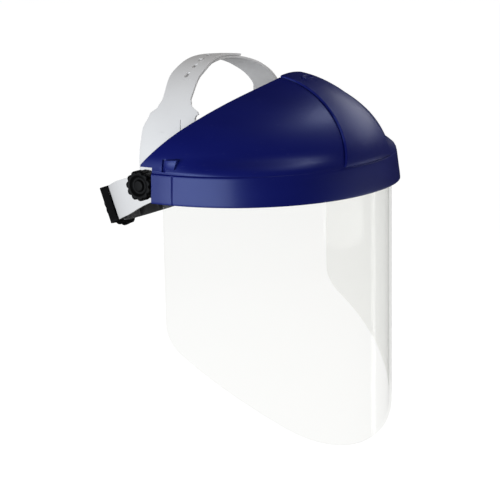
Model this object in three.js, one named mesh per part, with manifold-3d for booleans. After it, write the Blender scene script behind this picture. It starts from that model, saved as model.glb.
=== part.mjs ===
// Face shield: a tinted crown visor with a clear window, hinged on a ratchet headband.
// Millimetres. Origin midway between the two side pivots, on the tilt axis.
// +Z is up, the wearer looks along -Y, and +X is the wearer's left.
import * as THREE from 'three';
import { mergeVertices } from 'three/addons/utils/BufferGeometryUtils.js';
import Module from 'manifold-3d';

const wasm = await Module();
wasm.setup();

// ---- driving dimensions ----
const GAP = 0.3; // between pieces that touch
const SIDES = { left: 1, right: -1 };

const PLAN_POWER = 2.13; // roundness of the visor seen from above
const PLAN_BACK_Y = -19.3; // where the visor is widest
const BRIM = { halfWidth: 126, depth: 120, top: 10.4, bottom: -12.6, rear: -12.5, notchTop: 15 };
// rows of the brim: height, how far it stands out at the ears, and in front, where it leans back
const BRIM_ROWS = [[BRIM.bottom, 1, 1], [-9.6, 0.7, 0.7], [0, 0.3, -0.55], [BRIM.top, 0, -2], [11.5, -0.7, -2.4]];
const BRIM_LEAN = { from: 0.45, over: 0.5 }; // share of the brim's depth where the lean starts, and its run-in
const DOME = { base: 12, cheekPower: 1.6, cheekRise: 12, inset: 1.2, wall: 2.5, earY: -1, edgePlane: 15.5 };
const RIDGE = { baseY: -132.6, length: 80, height: 65, power: 1.8, wide: 36.2, narrow: 15.4, taper: 0.85 };
const PANEL = { raise: 1.2, baseSag: 4.5, topSag: 1.2, step: 0.8 };
const DOME_WIDTHS = [[12, 125], [25, 122], [48, 99.5], [63.4, 67.6], [77.2, 22]]; // height, half width

const WINDOW = { halfWidth: 120.5, depth: 112.4, thick: 2, top: 8.6, bottom: -220, corner: 12 };
const WINDOW_EDGE = { arcRadius: 155, slopeDeg: 35.5 }; // lower edge: an arc, then a straight slope
const STUD = { r: 3.5, hole: 4.2, ys: [-25, -38], frontAngles: [-50, 0, 50], reach: 8.6 };

const BAND = { halfWidth: 78, depth: 108, centreY: 10, thick: 1.8, half: 12.5, browHalf: 15.5, rearHalf: 15 };
const BAND_TILT = THREE.MathUtils.degToRad(-21); // the band drops towards the nape
const BROW_END = 98; // degrees round the loop from the middle of the brow
const STRAP = { topZ: 89, archBase: 10, archHalf: 78, bulge: 0.9, thick: 1.8, foreAft: 118.8, rearDroop: 2.4, rearY: 36, hem: 9 };

const NAPE = { centreY: 56, rackR: 61.3, angle: 48, half: 15.5, outer: 68.6, inner: 60.2 };
const PINION = { r: 7, teeth: 10, tall: 1.3, thick: 1.2 };
const RACK = { thick: 2, deep: 2.6, reach: 38.5, past: 24 };
const RATCHET_KNOB = { r: 19.5, thick: 6.4, lobes: 15, shaft: 5 };

const POST = { r: 7, from: 80.6, to: 111.5 };
const WASHER = { r: 9, thick: 1.5 };
const BRACKET = { thick: 3, r: 11, front: -44.5 };
const KNOB = { r: 12.1, lobes: 11, thick: 10.4 };
const BOLT = { r: 3, headR: 6.5, headThick: 2, from: 71.5, to: 123.5 };

// ---- materials ----
const paint = (color, roughness, extra = {}) =>
  new THREE.MeshStandardMaterial({ color, roughness, metalness: 0, ...extra });
const NAVY = paint(0x1c2a6e, 0.38);
const CLEAR = paint(0xf2f6f8, 0.05, { transparent: true, opacity: 0.25 });
const GREY = paint(0xe6e4e3, 0.5);
const BLACK = paint(0x151517, 0.55);
const FOAM = paint(0x1a1a1c, 0.9);
const STEEL = paint(0xb9bcc0, 0.3, { metalness: 1 });

// ---- mesh and boolean helpers ----
function geometryFrom(points, triangles) {
  const geometry = new THREE.BufferGeometry();
  geometry.setAttribute('position', new THREE.Float32BufferAttribute(points.flatMap((p) => p.toArray()), 3));
  geometry.setIndex(triangles.flat());
  return geometry;
}

function toManifold(geometry) {
  const plain = geometry.clone();
  plain.deleteAttribute('normal');
  plain.deleteAttribute('uv');
  const merged = mergeVertices(plain, 1e-4);
  return new wasm.Manifold(new wasm.Mesh({
    numProp: 3,
    vertProperties: new Float32Array(merged.attributes.position.array),
    triVerts: new Uint32Array(merged.index.array),
  }));
}

function fromManifold(solid) {
  const mesh = solid.getMesh();
  const geometry = new THREE.BufferGeometry();
  geometry.setAttribute('position', new THREE.Float32BufferAttribute(mesh.vertProperties, 3));
  geometry.setIndex([...mesh.triVerts]);
  return geometry;
}

function combine(base, { add = [], cut = [] }) {
  let solid = toManifold(base);
  for (const piece of add) solid = solid.add(toManifold(piece));
  for (const piece of cut) solid = solid.subtract(toManifold(piece));
  return fromManifold(solid);
}

// A closed solid between two matching grids of points, outer[i][j] and inner[i][j].
function gridSolid(outer, inner) {
  const rows = outer.length;
  const cols = outer[0].length;
  const points = [...outer.flat(), ...inner.flat()];
  const o = (i, j) => i * cols + j;
  const n = (i, j) => rows * cols + i * cols + j;
  const triangles = [];
  const quad = (a, b, c, d) => triangles.push([a, b, c], [a, c, d]);
  for (let i = 0; i < rows - 1; i += 1) {
    for (let j = 0; j < cols - 1; j += 1) {
      quad(o(i, j), o(i, j + 1), o(i + 1, j + 1), o(i + 1, j));
      quad(n(i, j), n(i + 1, j), n(i + 1, j + 1), n(i, j + 1));
    }
    quad(o(i, 0), o(i + 1, 0), n(i + 1, 0), n(i, 0));
    quad(o(i, cols - 1), n(i, cols - 1), n(i + 1, cols - 1), o(i + 1, cols - 1));
  }
  for (let j = 0; j < cols - 1; j += 1) {
    quad(o(0, j), n(0, j), n(0, j + 1), o(0, j + 1));
    quad(o(rows - 1, j), o(rows - 1, j + 1), n(rows - 1, j + 1), n(rows - 1, j));
  }
  const geometry = geometryFrom(points, triangles);
  return toManifold(geometry).volume() < 0 ? turnedOut(geometry) : geometry;
}

function turnedOut(geometry) {
  const index = [...geometry.index.array];
  for (let i = 0; i < index.length; i += 3) [index[i + 1], index[i + 2]] = [index[i + 2], index[i + 1]];
  geometry.setIndex(index);
  return geometry;
}

const grid = (rows, cols, at) => rows.map((r) => cols.map((c) => at(c, r)));
const steps = (from, to, count) => Array.from({ length: count + 1 }, (_, i) => from + ((to - from) * i) / count);

// Surface normals of a grid, from the neighbours of each point.
function gridNormals(points) {
  const last = [points.length - 1, points[0].length - 1];
  return points.map((row, i) => row.map((_, j) => {
    const along = points[i][Math.min(j + 1, last[1])].clone().sub(points[i][Math.max(j - 1, 0)]);
    const across = points[Math.min(i + 1, last[0])][j].clone().sub(points[Math.max(i - 1, 0)][j]);
    return across.cross(along).normalize();
  }));
}

// A cylinder along X from one x to the other.
function rodX(r, from, to, y = 0, z = 0, segments = 16) {
  return new THREE.CylinderGeometry(r, r, Math.abs(to - from), segments)
    .rotateZ(Math.PI / 2).translate((from + to) / 2, y, z);
}

function box(low, high) {
  const size = high.map((h, i) => h - low[i]);
  return new THREE.BoxGeometry(...size).translate(...low.map((l, i) => l + size[i] / 2));
}

const root = new THREE.Group();
function place(name, geometry, material, parent = root) {
  const mesh = new THREE.Mesh(geometry, material);
  mesh.name = name;
  parent.add(mesh);
  return mesh;
}
const bandGroup = new THREE.Group();
bandGroup.rotation.x = BAND_TILT;
root.add(bandGroup);

// ---- visor plan and dome surfaces ----
function planPoint(deg, halfWidth, depth, z, roundness = PLAN_POWER) {
  const a = THREE.MathUtils.degToRad(deg);
  const power = 2 / roundness;
  const x = halfWidth * Math.sign(Math.sin(a)) * Math.abs(Math.sin(a)) ** power;
  return new THREE.Vector3(x, PLAN_BACK_Y - depth * Math.max(Math.cos(a), 0) ** power, z);
}

const widthCurve = new THREE.CatmullRomCurve3(DOME_WIDTHS.map(([z, w]) => new THREE.Vector3(w, 0, z)));
function domeHalfWidth(z) {
  let [low, high] = [0, 1];
  for (let i = 0; i < 30; i += 1) {
    const mid = (low + high) / 2;
    if (widthCurve.getPoint(mid).z < z) low = mid;
    else high = mid;
  }
  return widthCurve.getPoint(low).x;
}

function ridgePoint(z) {
  const rise = Math.min((z - DOME.base) / RIDGE.height, 1);
  const run = RIDGE.length * (1 - (1 - rise ** RIDGE.power) ** (1 / RIDGE.power));
  const x = RIDGE.wide - (RIDGE.wide - RIDGE.narrow) * rise ** RIDGE.taper;
  return new THREE.Vector3(x, RIDGE.baseY + run, z);
}

// The dome's cheeks flatten just above the brim.
const domeRoundness = (z) => THREE.MathUtils.lerp(PLAN_POWER, DOME.cheekPower,
  THREE.MathUtils.smoothstep(z, DOME.base, DOME.base + DOME.cheekRise));

// Side surface of the dome: share 0 on the ridge, 1 at the widest line.
function domeSide(share, z) {
  const ridge = ridgePoint(z);
  const halfWidth = domeHalfWidth(z);
  const power = domeRoundness(z);
  const ratio = Math.min(ridge.x / halfWidth, 0.97);
  const depth = (PLAN_BACK_Y - ridge.y) / (1 - ratio ** power) ** (1 / power);
  const ridgeDeg = THREE.MathUtils.radToDeg(Math.asin(ratio ** (power / 2)));
  return planPoint(ridgeDeg + share * (90 - ridgeDeg), halfWidth, depth, z, power);
}

// Height where a column of the dome meets the sloping rear edge.
function edgeHeight(at) {
  let [low, high] = [DOME.base, DOME.base + RIDGE.height - 0.05];
  for (let i = 0; i < 40; i += 1) {
    const mid = (low + high) / 2;
    if (at(mid).y + mid < DOME.edgePlane) low = mid;
    else high = mid;
  }
  return low;
}

// A point of the brim's outer face.
function brimPoint([z, ear, front], planDeg) {
  const forward = Math.cos(THREE.MathUtils.degToRad(planDeg)) ** (2 / PLAN_POWER);
  const off = THREE.MathUtils.lerp(ear, front,
    THREE.MathUtils.smoothstep(forward, BRIM_LEAN.from, BRIM_LEAN.from + BRIM_LEAN.over));
  return planPoint(planDeg, BRIM.halfWidth + off, BRIM.depth + off, z);
}

const planDegAt = (share) => THREE.MathUtils.radToDeg(Math.asin(Math.min(share, 1) ** (PLAN_POWER / 2)));

function domeColumns() {
  const rise = steps(0, 1, 8).map((t) => Math.sin((t * Math.PI) / 2));
  const column = (at, planDeg, earY) => {
    const edge = edgeHeight(at);
    const brim = BRIM_ROWS.map((row) => {
      const p = brimPoint(row, planDeg);
      return earY === undefined ? p : p.setY(earY);
    });
    return [...brim, ...rise.map((t) => at(DOME.base + t * (edge - DOME.base)))];
  };
  const ears = [DOME.earY, (DOME.earY + BRIM.rear) / 2, BRIM.rear].map((y) =>
    column((z) => domeSide(1, z).setY(y), 90, y));
  const cheeks = steps(1, 0, 11).map((share) => {
    const at = (z) => domeSide(share, z);
    return column(at, share === 1 ? 90 : planDegAt(at(DOME.base).x / (BRIM.halfWidth - DOME.inset)));
  });
  return [...ears, ...cheeks];
}

function crownOuter() {
  const half = domeColumns();
  const ridge = half[half.length - 1];
  const foot = BRIM_ROWS.length; // the first row of the dome
  const panel = steps(1, 0, 4).map((u) => ridge.map((p, row) => {
    const x = u * (p.x - PANEL.step);
    if (row < foot) return brimPoint(BRIM_ROWS[row], planDegAt(x / BRIM.halfWidth)).setX(x);
    const next = ridge[Math.min(row + 1, ridge.length - 1)];
    const before = ridge[Math.max(row - 1, foot)];
    const out = new THREE.Vector3(0, -(next.z - before.z), next.y - before.y).normalize();
    const sag = THREE.MathUtils.lerp(PANEL.baseSag, PANEL.topSag, (p.z - DOME.base) / RIDGE.height);
    return new THREE.Vector3(x, p.y, p.z).addScaledVector(out, PANEL.raise + sag * (1 - u * u));
  }));
  const leftHalf = [...half, ...panel];
  const mirrored = leftHalf.slice(0, -1).reverse().map((col) => col.map((p) => new THREE.Vector3(-p.x, p.y, p.z)));
  return [...leftHalf, ...mirrored];
}

function crownShell() {
  const outer = crownOuter();
  const normals = gridNormals(outer);
  const sign = normals[10][3].x > 0 ? -1 : 1;
  const inner = outer.map((col, i) => col.map((p, j) => p.clone().addScaledVector(normals[i][j], sign * DOME.wall)));
  const shell = gridSolid(outer, inner);
  const add = [];
  const cut = [box([-140, BRIM.rear, -30], [140, 20, BRIM.notchTop])];
  for (const side of Object.values(SIDES)) {
    for (const y of STUD.ys) {
      const wall = studWall(y);
      add.push(rodX(STUD.r, side * (BRACKET_X.outer + GAP), side * (wall + 1.2), y, 0, 12));
      cut.push(rodX(1.8, side * (BRACKET_X.outer - 2), side * (wall - 0.5), y, 0, 10));
    }
    add.push(latchTab(side));
    cut.push(box([side > 0 ? 118 : -130, -24.9, DOME.base + 0.6], [side > 0 ? 130 : -118, -21.9, 22]));
  }
  for (const deg of STUD.frontAngles) add.push(frontStud(deg, STUD.r, STUD.reach));
  return combine(shell, { add, cut });
}

// x of the brim's inner wall at one y.
function studWall(y) {
  const depth = BRIM.depth - DOME.wall;
  return (BRIM.halfWidth - DOME.wall) * (1 - ((PLAN_BACK_Y - y) / depth) ** PLAN_POWER) ** (1 / PLAN_POWER);
}

// A stud that points inwards from the brim at one angle round the plan.
function frontStud(deg, r, length) {
  const p = planPoint(deg, BRIM.halfWidth - 1.2, BRIM.depth - 1.2, 0);
  const q = planPoint(deg + 0.5, BRIM.halfWidth - 1.2, BRIM.depth - 1.2, 0);
  const along = q.sub(p).normalize();
  const inward = new THREE.Vector3(-along.y, along.x, 0);
  if (inward.dot(p) > 0) inward.negate();
  return new THREE.CylinderGeometry(r, r, length, 12).translate(0, length / 2, 0)
    .applyQuaternion(new THREE.Quaternion().setFromUnitVectors(new THREE.Vector3(0, 1, 0), inward))
    .translate(p.x, p.y, 0);
}

function latchTab(side) {
  const outline = new THREE.Shape([[-25.3, 21.9], [-36.6, 22.6], [-33.9, 14.8], [-26.8, 14.8]]
    .map(([y, z]) => new THREE.Vector2(y, z)));
  const tab = new THREE.ExtrudeGeometry(outline, { depth: 4, bevelEnabled: false });
  // the outline's (x, y) become (y, z), and the depth runs along x
  tab.applyMatrix4(new THREE.Matrix4().makeBasis(
    new THREE.Vector3(0, 1, 0), new THREE.Vector3(0, 0, 1), new THREE.Vector3(1, 0, 0)));
  return tab.translate(side > 0 ? 121.4 : -125.4, 0, 0);
}

// ---- window ----
const windowPlan = steps(0, 90, 360).map((deg) => planPoint(deg, WINDOW.halfWidth, WINDOW.depth, 0));
const windowArc = windowPlan.reduce((list, p, i) => {
  list.push(i ? list[i - 1] + p.distanceTo(windowPlan[i - 1]) : 0);
  return list;
}, []);
const windowHalf = windowArc[windowArc.length - 1];

function windowDegAt(s) {
  const target = Math.abs(s);
  const i = Math.max(windowArc.findIndex((v) => v >= target), 1);
  const t = (target - windowArc[i - 1]) / (windowArc[i] - windowArc[i - 1]);
  return Math.sign(s) * ((i - 1 + t) * 90) / 360;
}

function windowBottom(s) {
  const slope = THREE.MathUtils.degToRad(WINDOW_EDGE.slopeDeg);
  const R = WINDOW_EDGE.arcRadius;
  const tangent = R * Math.sin(slope);
  const a = Math.abs(s);
  const sloped = (v) => WINDOW.bottom + R * (1 - Math.cos(slope)) + (v - tangent) * Math.tan(slope);
  const edge = a < tangent ? WINDOW.bottom + R - Math.sqrt(R * R - a * a) : sloped(a);
  const into = Math.max(a - (windowHalf - WINDOW.corner), 0);
  return edge + WINDOW.corner - Math.sqrt(Math.max(WINDOW.corner ** 2 - into * into, 0));
}

function windowPane() {
  const ends = [0, 0.6, 2.4, 6, WINDOW.corner].map((d) => windowHalf - d);
  const middle = steps(windowHalf - WINDOW.corner, -(windowHalf - WINDOW.corner), 32).slice(1, -1);
  const columns = [...ends, ...middle, ...ends.map((s) => -s).reverse()];
  const face = (off) => grid(columns, [0, 0.08, 0.55, 1], (t, s) => {
    const deg = windowDegAt(s);
    const z = WINDOW.top + t * (windowBottom(s) - WINDOW.top);
    return planPoint(deg, WINDOW.halfWidth + off, WINDOW.depth + off, z);
  });
  const pane = gridSolid(face(WINDOW.thick / 2), face(-WINDOW.thick / 2));
  const cut = STUD.frontAngles.map((deg) => frontStud(deg, STUD.hole, 12));
  for (const side of Object.values(SIDES)) {
    for (const y of STUD.ys) cut.push(rodX(STUD.hole, side * 105, side * 130, y, 0, 12));
  }
  return combine(pane, { cut });
}

// ---- side pivots, brackets and tension knobs ----
const BRACKET_X = { inner: POST.to + GAP + WASHER.thick + GAP };
BRACKET_X.outer = BRACKET_X.inner + BRACKET.thick;

function lobedOutline(r, lobes, depth) {
  const points = steps(0, 2 * Math.PI, lobes * 4).slice(0, -1).map((a) => {
    const wave = Math.abs(Math.cos((a * lobes) / 2)) ** 0.8;
    return new THREE.Vector2((r - depth * (1 - wave)) * Math.cos(a), (r - depth * (1 - wave)) * Math.sin(a));
  });
  return new THREE.Shape(points);
}

function tensionKnob(side) {
  const bevel = 1;
  const outline = lobedOutline(KNOB.r - bevel, KNOB.lobes, 1.5);
  const body = new THREE.ExtrudeGeometry(outline, {
    depth: KNOB.thick - 2 * bevel, bevelThickness: bevel, bevelSize: bevel, bevelSegments: 1, curveSegments: 1,
  }).translate(0, 0, bevel);
  const dish = new THREE.CylinderGeometry(7.6, 6.2, 3, 20).rotateX(Math.PI / 2).translate(0, 0, KNOB.thick - 1.4);
  const cap = new THREE.CylinderGeometry(3.6, 4, 2.2, 14).rotateX(Math.PI / 2).translate(0, 0, KNOB.thick - 2.6);
  const bore = new THREE.CylinderGeometry(BOLT.r + GAP, BOLT.r + GAP, 16, 16).rotateX(Math.PI / 2)
    .translate(0, 0, KNOB.thick - 3.4 - 8);
  const knob = combine(combine(body, { cut: [dish] }), { add: [cap], cut: [bore] });
  const from = BRACKET_X.outer + GAP;
  return knob.rotateY((side * Math.PI) / 2).translate(side * from, 0, 0);
}

function bracket(side) {
  const outline = new THREE.Shape();
  outline.absarc(0, 0, BRACKET.r, THREE.MathUtils.degToRad(-130), THREE.MathUtils.degToRad(130), false);
  outline.lineTo(BRACKET.front + 5, 7);
  outline.absarc(BRACKET.front + 5, 2, 5, Math.PI / 2, Math.PI, false);
  outline.absarc(BRACKET.front + 5, -2, 5, Math.PI, 1.5 * Math.PI, false);
  for (const [y, r] of [[0, BOLT.r + GAP], [STUD.ys[0], 1.8], [STUD.ys[1], 1.8]]) {
    const hole = new THREE.Path();
    hole.absarc(y, 0, r, 0, 2 * Math.PI, true);
    outline.holes.push(hole);
  }
  const plate = new THREE.ExtrudeGeometry(outline, { depth: BRACKET.thick, bevelEnabled: false, curveSegments: 10 });
  plate.applyMatrix4(new THREE.Matrix4().makeBasis(
    new THREE.Vector3(0, 1, 0), new THREE.Vector3(0, 0, 1), new THREE.Vector3(1, 0, 0)));
  return plate.translate(side > 0 ? BRACKET_X.inner : -BRACKET_X.outer, 0, 0);
}

function bracketScrew(side, y) {
  const head = rodX(3.2, side * (BRACKET_X.inner - GAP), side * (BRACKET_X.inner - 2), y, 0, 12);
  const shank = rodX(1.4, side * (BRACKET_X.inner - 1), side * (studWall(y) - 1.5), y, 0, 8);
  return combine(head, { add: [shank] });
}

const ring = (outerR, innerR, side, from, to) =>
  combine(rodX(outerR, side * from, side * to), { cut: [rodX(innerR, side * (from - 1), side * (to + 1))] });

// ---- headband ----
function loopPoint(deg, off, z) {
  const a = THREE.MathUtils.degToRad(deg);
  return new THREE.Vector3((BAND.halfWidth + off) * Math.sin(a), BAND.centreY - (BAND.depth + off) * Math.cos(a), z);
}

// A strip round the loop from one angle to another, with its half height given as a function of the angle.
function loopStrip(fromDeg, toDeg, count, offOuter, offInner, halfHeight, rows = 2) {
  const face = (off) => grid(steps(fromDeg, toDeg, count), steps(-1, 1, rows), (t, deg) =>
    loopPoint(deg, off, t * halfHeight(deg)));
  return gridSolid(face(offOuter), face(offInner));
}

const smooth = (t) => THREE.MathUtils.smoothstep(t, 0, 1);
const bandHalf = (deg) => BAND.browHalf + (BAND.half - BAND.browHalf) * smooth((Math.abs(deg) - 45) / 35);

function pivotHole(side) {
  return rodX(BOLT.r + GAP, side * 60, side * 100);
}

// ---- crown straps: each side plate runs up into a strap over the head ----
// The arch that both straps follow, in the upright frame.
function archPoint(side, deg, y, off) {
  const a = THREE.MathUtils.degToRad(deg);
  const tall = STRAP.topZ - STRAP.archBase;
  const sag = STRAP.archHalf * (1 - Math.sqrt(1 - ((y - BAND.centreY) / STRAP.foreAft) ** 2));
  const bulge = (v) => Math.sign(v) * Math.abs(v) ** STRAP.bulge;
  const x = (STRAP.archHalf - sag * Math.max(Math.cos(a), 0) + off) * bulge(Math.cos(a));
  const droop = STRAP.rearDroop * (Math.max(y, 0) / STRAP.rearY) ** 2;
  return new THREE.Vector3(side * x, y, STRAP.archBase + (tall - droop + off) * bulge(Math.sin(a)));
}

// Front and rear edge of the side plate and strap, against the height up the arch in degrees.
const PLATE_FRONT = [[-25, -19], [0, -20], [20, -20], [28, -18], [34, -9], [38, -7], [60, -4], [90, 3]];
const PLATE_REAR = [[-25, 33], [0, 36], [16, 34], [26, 29], [31, 22], [36, 20], [60, 25.5], [90, 28]];
const between = (table, degUp) => {
  const deg = Math.min(degUp, 180 - degUp); // the same on both sides of the crown
  const i = Math.max(table.findIndex(([d]) => d >= deg), 1);
  const [[d0, v0], [d1, v1]] = [table[i - 1], table[i]];
  return v0 + (v1 - v0) * smooth((deg - d0) / (d1 - d0));
};

// The lower strap tucks in by one thickness before it passes under the upper one.
const tuck = (deg) => smooth((deg - 45) / 25) * (STRAP.thick + GAP);

function crownStrap(side, topDeg, tucked) {
  const low = steps(-1, 0, 2).map((t) => ({ low: t }));
  const high = [...steps(0, 40, 9), ...steps(40, topDeg, 13).slice(1)].map((deg) => ({ deg }));
  const face = (off) => [...low.slice(0, -1), ...high].map((row) => steps(0, 1, 4).map((t) => {
    const deg = row.deg ?? 0;
    const y = THREE.MathUtils.lerp(between(PLATE_FRONT, deg), between(PLATE_REAR, deg), t);
    const p = archPoint(side, deg, y, off - (tucked ? tuck(deg) : 0));
    if (row.low !== undefined) {
      const hem = -y * Math.tan(-BAND_TILT) - STRAP.hem; // follows the sloping band
      p.z = THREE.MathUtils.lerp(STRAP.archBase, hem, -row.low);
    }
    return p;
  }));
  return gridSolid(face(GAP + STRAP.thick), face(GAP));
}

function strapTool(side, deg, y, shape) {
  const a = THREE.MathUtils.degToRad(deg);
  const p = archPoint(side, deg, y, 0);
  const out = new THREE.Vector3(side * Math.cos(a) * (STRAP.topZ - STRAP.archBase), 0,
    Math.sin(a) * STRAP.archHalf).normalize();
  const along = new THREE.Vector3(0, 1, 0).cross(out).normalize();
  return shape.applyMatrix4(new THREE.Matrix4().makeBasis(along, out, along.clone().cross(out)).setPosition(p));
}

const HOLE_DEGS = [56, 65.5, 75, 84.5, 94];
const PEG_DEGS = [75, 84.5];
const HOLE_SHARE = 0.42; // of the strap's width, from its front edge
const holeY = (deg) => THREE.MathUtils.lerp(between(PLATE_FRONT, deg), between(PLATE_REAR, deg), HOLE_SHARE);

function slottedHole() {
  return combine(new THREE.BoxGeometry(3.2, 8, 3.4), {
    add: [-1.6, 1.6].map((x) => new THREE.CylinderGeometry(1.7, 1.7, 8, 8).translate(x, 0, 0)),
  });
}

// Rivets that hold each side plate to the band, along X.
const RIVETS = { front: { y: -14, z: 5.4, head: 78.9 }, rear: { y: 30.5, z: -12.5, head: 79.2 } };
const RIVET = { r: 1.4, headR: 3.2, headThick: 1.1, inside: 73.2 };
const rivetHole = (side, { y, z }) => rodX(RIVET.r + GAP, side * 70, side * 90, y, z, 10);

function strapRivet(side, { y, z, head }) {
  const outer = rodX(RIVET.headR, side * head, side * (head + RIVET.headThick), y, z, 14);
  return combine(outer, { add: [
    rodX(RIVET.r, side * (RIVET.inside - 0.5), side * (head + 0.5), y, z, 10),
    rodX(RIVET.headR, side * (RIVET.inside - RIVET.headThick), side * RIVET.inside, y, z, 14),
  ] });
}

// ---- nape unit: all of it lies round one vertical axis of the tilted band ----
function napePoint(deg, r, z) {
  const a = THREE.MathUtils.degToRad(deg);
  return new THREE.Vector3(r * Math.sin(a), NAPE.centreY + r * Math.cos(a), z);
}

function napeArc(fromDeg, toDeg, r0, r1, z0, z1, count) {
  const face = (r) => grid(steps(fromDeg, toDeg, count), [z0, z1], (z, deg) => napePoint(deg, r, z));
  return gridSolid(face(r1), face(r0));
}

const rodBack = (r, from, to, segments = 18) =>
  new THREE.CylinderGeometry(r, r, to - from, segments).translate(0, (from + to) / 2, 0);

function napeHousing() {
  const block = napeArc(-NAPE.angle, NAPE.angle, NAPE.inner, NAPE.outer, -NAPE.half, NAPE.half, 16);
  const channel = napeArc(-60, 60, NAPE.inner - 3, RACK_R.outer + 0.4, -11.4, 11.4, 16);
  const shaftHole = rodBack(4.4, NAPE.centreY + 50, NAPE.centreY + 80);
  const spot = rodBack(11.5, NAPE.centreY + NAPE.outer - 2.2, NAPE.centreY + 80);
  return combine(block, { cut: [channel, shaftHole, spot, ...screwTools(1.5)] });
}

const RACK_R = { inner: NAPE.rackR - RACK.thick / 2, outer: NAPE.rackR + RACK.thick / 2 };
const SCREW_DEG = 36;
const SCREW_Z = 13.2;

function screwTools(r) {
  return [-1, 1].flatMap((s) => [SCREW_Z].map((z) => napeScrewShape(s, z, r, NAPE.inner - 8, NAPE.outer - 3)));
}

function napeScrewShape(s, z, r, from, to) {
  const a = THREE.MathUtils.degToRad(s * SCREW_DEG);
  return new THREE.CylinderGeometry(r, r, to - from, 14).translate(0, (from + to) / 2, 0)
    .rotateZ(-a).translate(0, NAPE.centreY, z);
}

function pinion() {
  const pitch = (2 * Math.PI) / PINION.teeth;
  const outline = steps(0, PINION.teeth, PINION.teeth).slice(0, -1).flatMap((k) => {
    const at = (r, share) => new THREE.Vector2(
      r * Math.cos((k + share) * pitch + Math.PI / 2), r * Math.sin((k + share) * pitch + Math.PI / 2));
    const low = PINION.r - PINION.tall;
    const high = PINION.r + PINION.tall * 0.7;
    return [at(low, -0.22), at(high, -0.1), at(high, 0.1), at(low, 0.22)];
  });
  const gear = new THREE.ExtrudeGeometry(new THREE.Shape(outline), { depth: PINION.thick, bevelEnabled: false })
    .rotateX(Math.PI / 2).translate(0, NAPE.centreY + NAPE.rackR + PINION.thick / 2, 0);
  return combine(gear, { add: [rodBack(4, NAPE.centreY + RACK_R.inner, NAPE.centreY + NAPE.outer + RATCHET_KNOB.shaft)] });
}

// A curved rack; side -1 runs above the pinion and leaves on the wearer's right.
function rack(side) {
  const up = -side;
  const root0 = PINION.r + PINION.tall;
  const strip = napeArc(-side * RACK.past, side * RACK.reach, RACK_R.inner, RACK_R.outer,
    up * root0, up * (root0 + RACK.deep), 22);
  const toothPitch = THREE.MathUtils.radToDeg((2 * Math.PI * PINION.r) / PINION.teeth / NAPE.rackR);
  const first = -Math.floor(RACK.past / toothPitch) + 1;
  const add = [];
  for (let k = first; k < 5; k += 1) {
    const mid = side * (k + 0.5) * toothPitch;
    add.push(napeArc(mid - 0.62, mid + 0.62, RACK_R.inner, RACK_R.outer,
      up * (PINION.r - PINION.tall * 0.5), up * (root0 + 0.5), 1));
  }
  return combine(strip, { add });
}

function ratchetKnob() {
  const bevel = 1.2;
  const y0 = NAPE.centreY + NAPE.outer + GAP;
  const outline = lobedOutline(RATCHET_KNOB.r - bevel, RATCHET_KNOB.lobes, 1.4);
  const body = new THREE.ExtrudeGeometry(outline, {
    depth: RATCHET_KNOB.thick - 2 * bevel, bevelThickness: bevel, bevelSize: bevel, bevelSegments: 1,
  }).translate(0, 0, bevel).rotateX(-Math.PI / 2).translate(0, y0, 0);
  return combine(body, { cut: [rodBack(4 + GAP, y0 - 1, NAPE.centreY + NAPE.outer + RATCHET_KNOB.shaft + GAP),
    rodBack(10, y0 - 1, y0 + 1.6)] });
}

// ---- assembly: visor ----
place('crown_shell', crownShell(), NAVY);
place('window', windowPane(), CLEAR);
for (const [name, side] of Object.entries(SIDES)) {
  const washerFrom = POST.to + GAP;
  place(`pivot_bracket_${name}`, bracket(side), BLACK);
  place(`bracket_screw_rear_${name}`, bracketScrew(side, STUD.ys[0]), STEEL);
  place(`bracket_screw_front_${name}`, bracketScrew(side, STUD.ys[1]), STEEL);
  place(`friction_washer_${name}`, ring(WASHER.r, BOLT.r + GAP, side, washerFrom, washerFrom + WASHER.thick), BLACK);
  place(`tension_knob_${name}`, tensionKnob(side), BLACK);
  place(`pivot_post_${name}`, ring(POST.r, BOLT.r + GAP, side, POST.from, POST.to), BLACK);
  const head = rodX(BOLT.headR, side * BOLT.from, side * (BOLT.from + BOLT.headThick), 0, 0, 6);
  place(`pivot_bolt_${name}`, combine(head, { add: [rodX(BOLT.r, side * (BOLT.from + 1), side * BOLT.to)] }), STEEL);
}

// ---- assembly: headband ----
const upright = (geometry) => geometry.rotateX(-BAND_TILT); // into the band's own frame
const holes = () => Object.values(SIDES).flatMap((side) =>
  [pivotHole(side), rivetHole(side, RIVETS.front)].map(upright));
place('brow_band', combine(loopStrip(-BROW_END, BROW_END, 36, 0, -BAND.thick, bandHalf), { cut: holes() }),
  GREY, bandGroup);
place('brow_pad', loopStrip(-72, 72, 20, -BAND.thick - GAP, -BAND.thick - GAP - 5.5, () => 16.5), FOAM, bandGroup);

const plateHoles = (side) => [pivotHole(side), ...Object.values(RIVETS).map((at) => rivetHole(side, at))];
const rightStrap = combine(crownStrap(SIDES.right, 104, false), {
  cut: [...plateHoles(SIDES.right), ...HOLE_DEGS.map((deg) => strapTool(SIDES.right, deg, holeY(deg), slottedHole()))],
});
place('crown_strap_right', rightStrap, GREY);
const peg = () => new THREE.CylinderGeometry(1.3, 1.3, 3.6, 10).translate(0, 1.2, 0);
const leftStrap = combine(crownStrap(SIDES.left, 128, true), {
  add: PEG_DEGS.map((deg) => strapTool(SIDES.right, deg, holeY(deg), peg())),
  cut: plateHoles(SIDES.left),
});
place('crown_strap_left', leftStrap, GREY);

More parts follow.
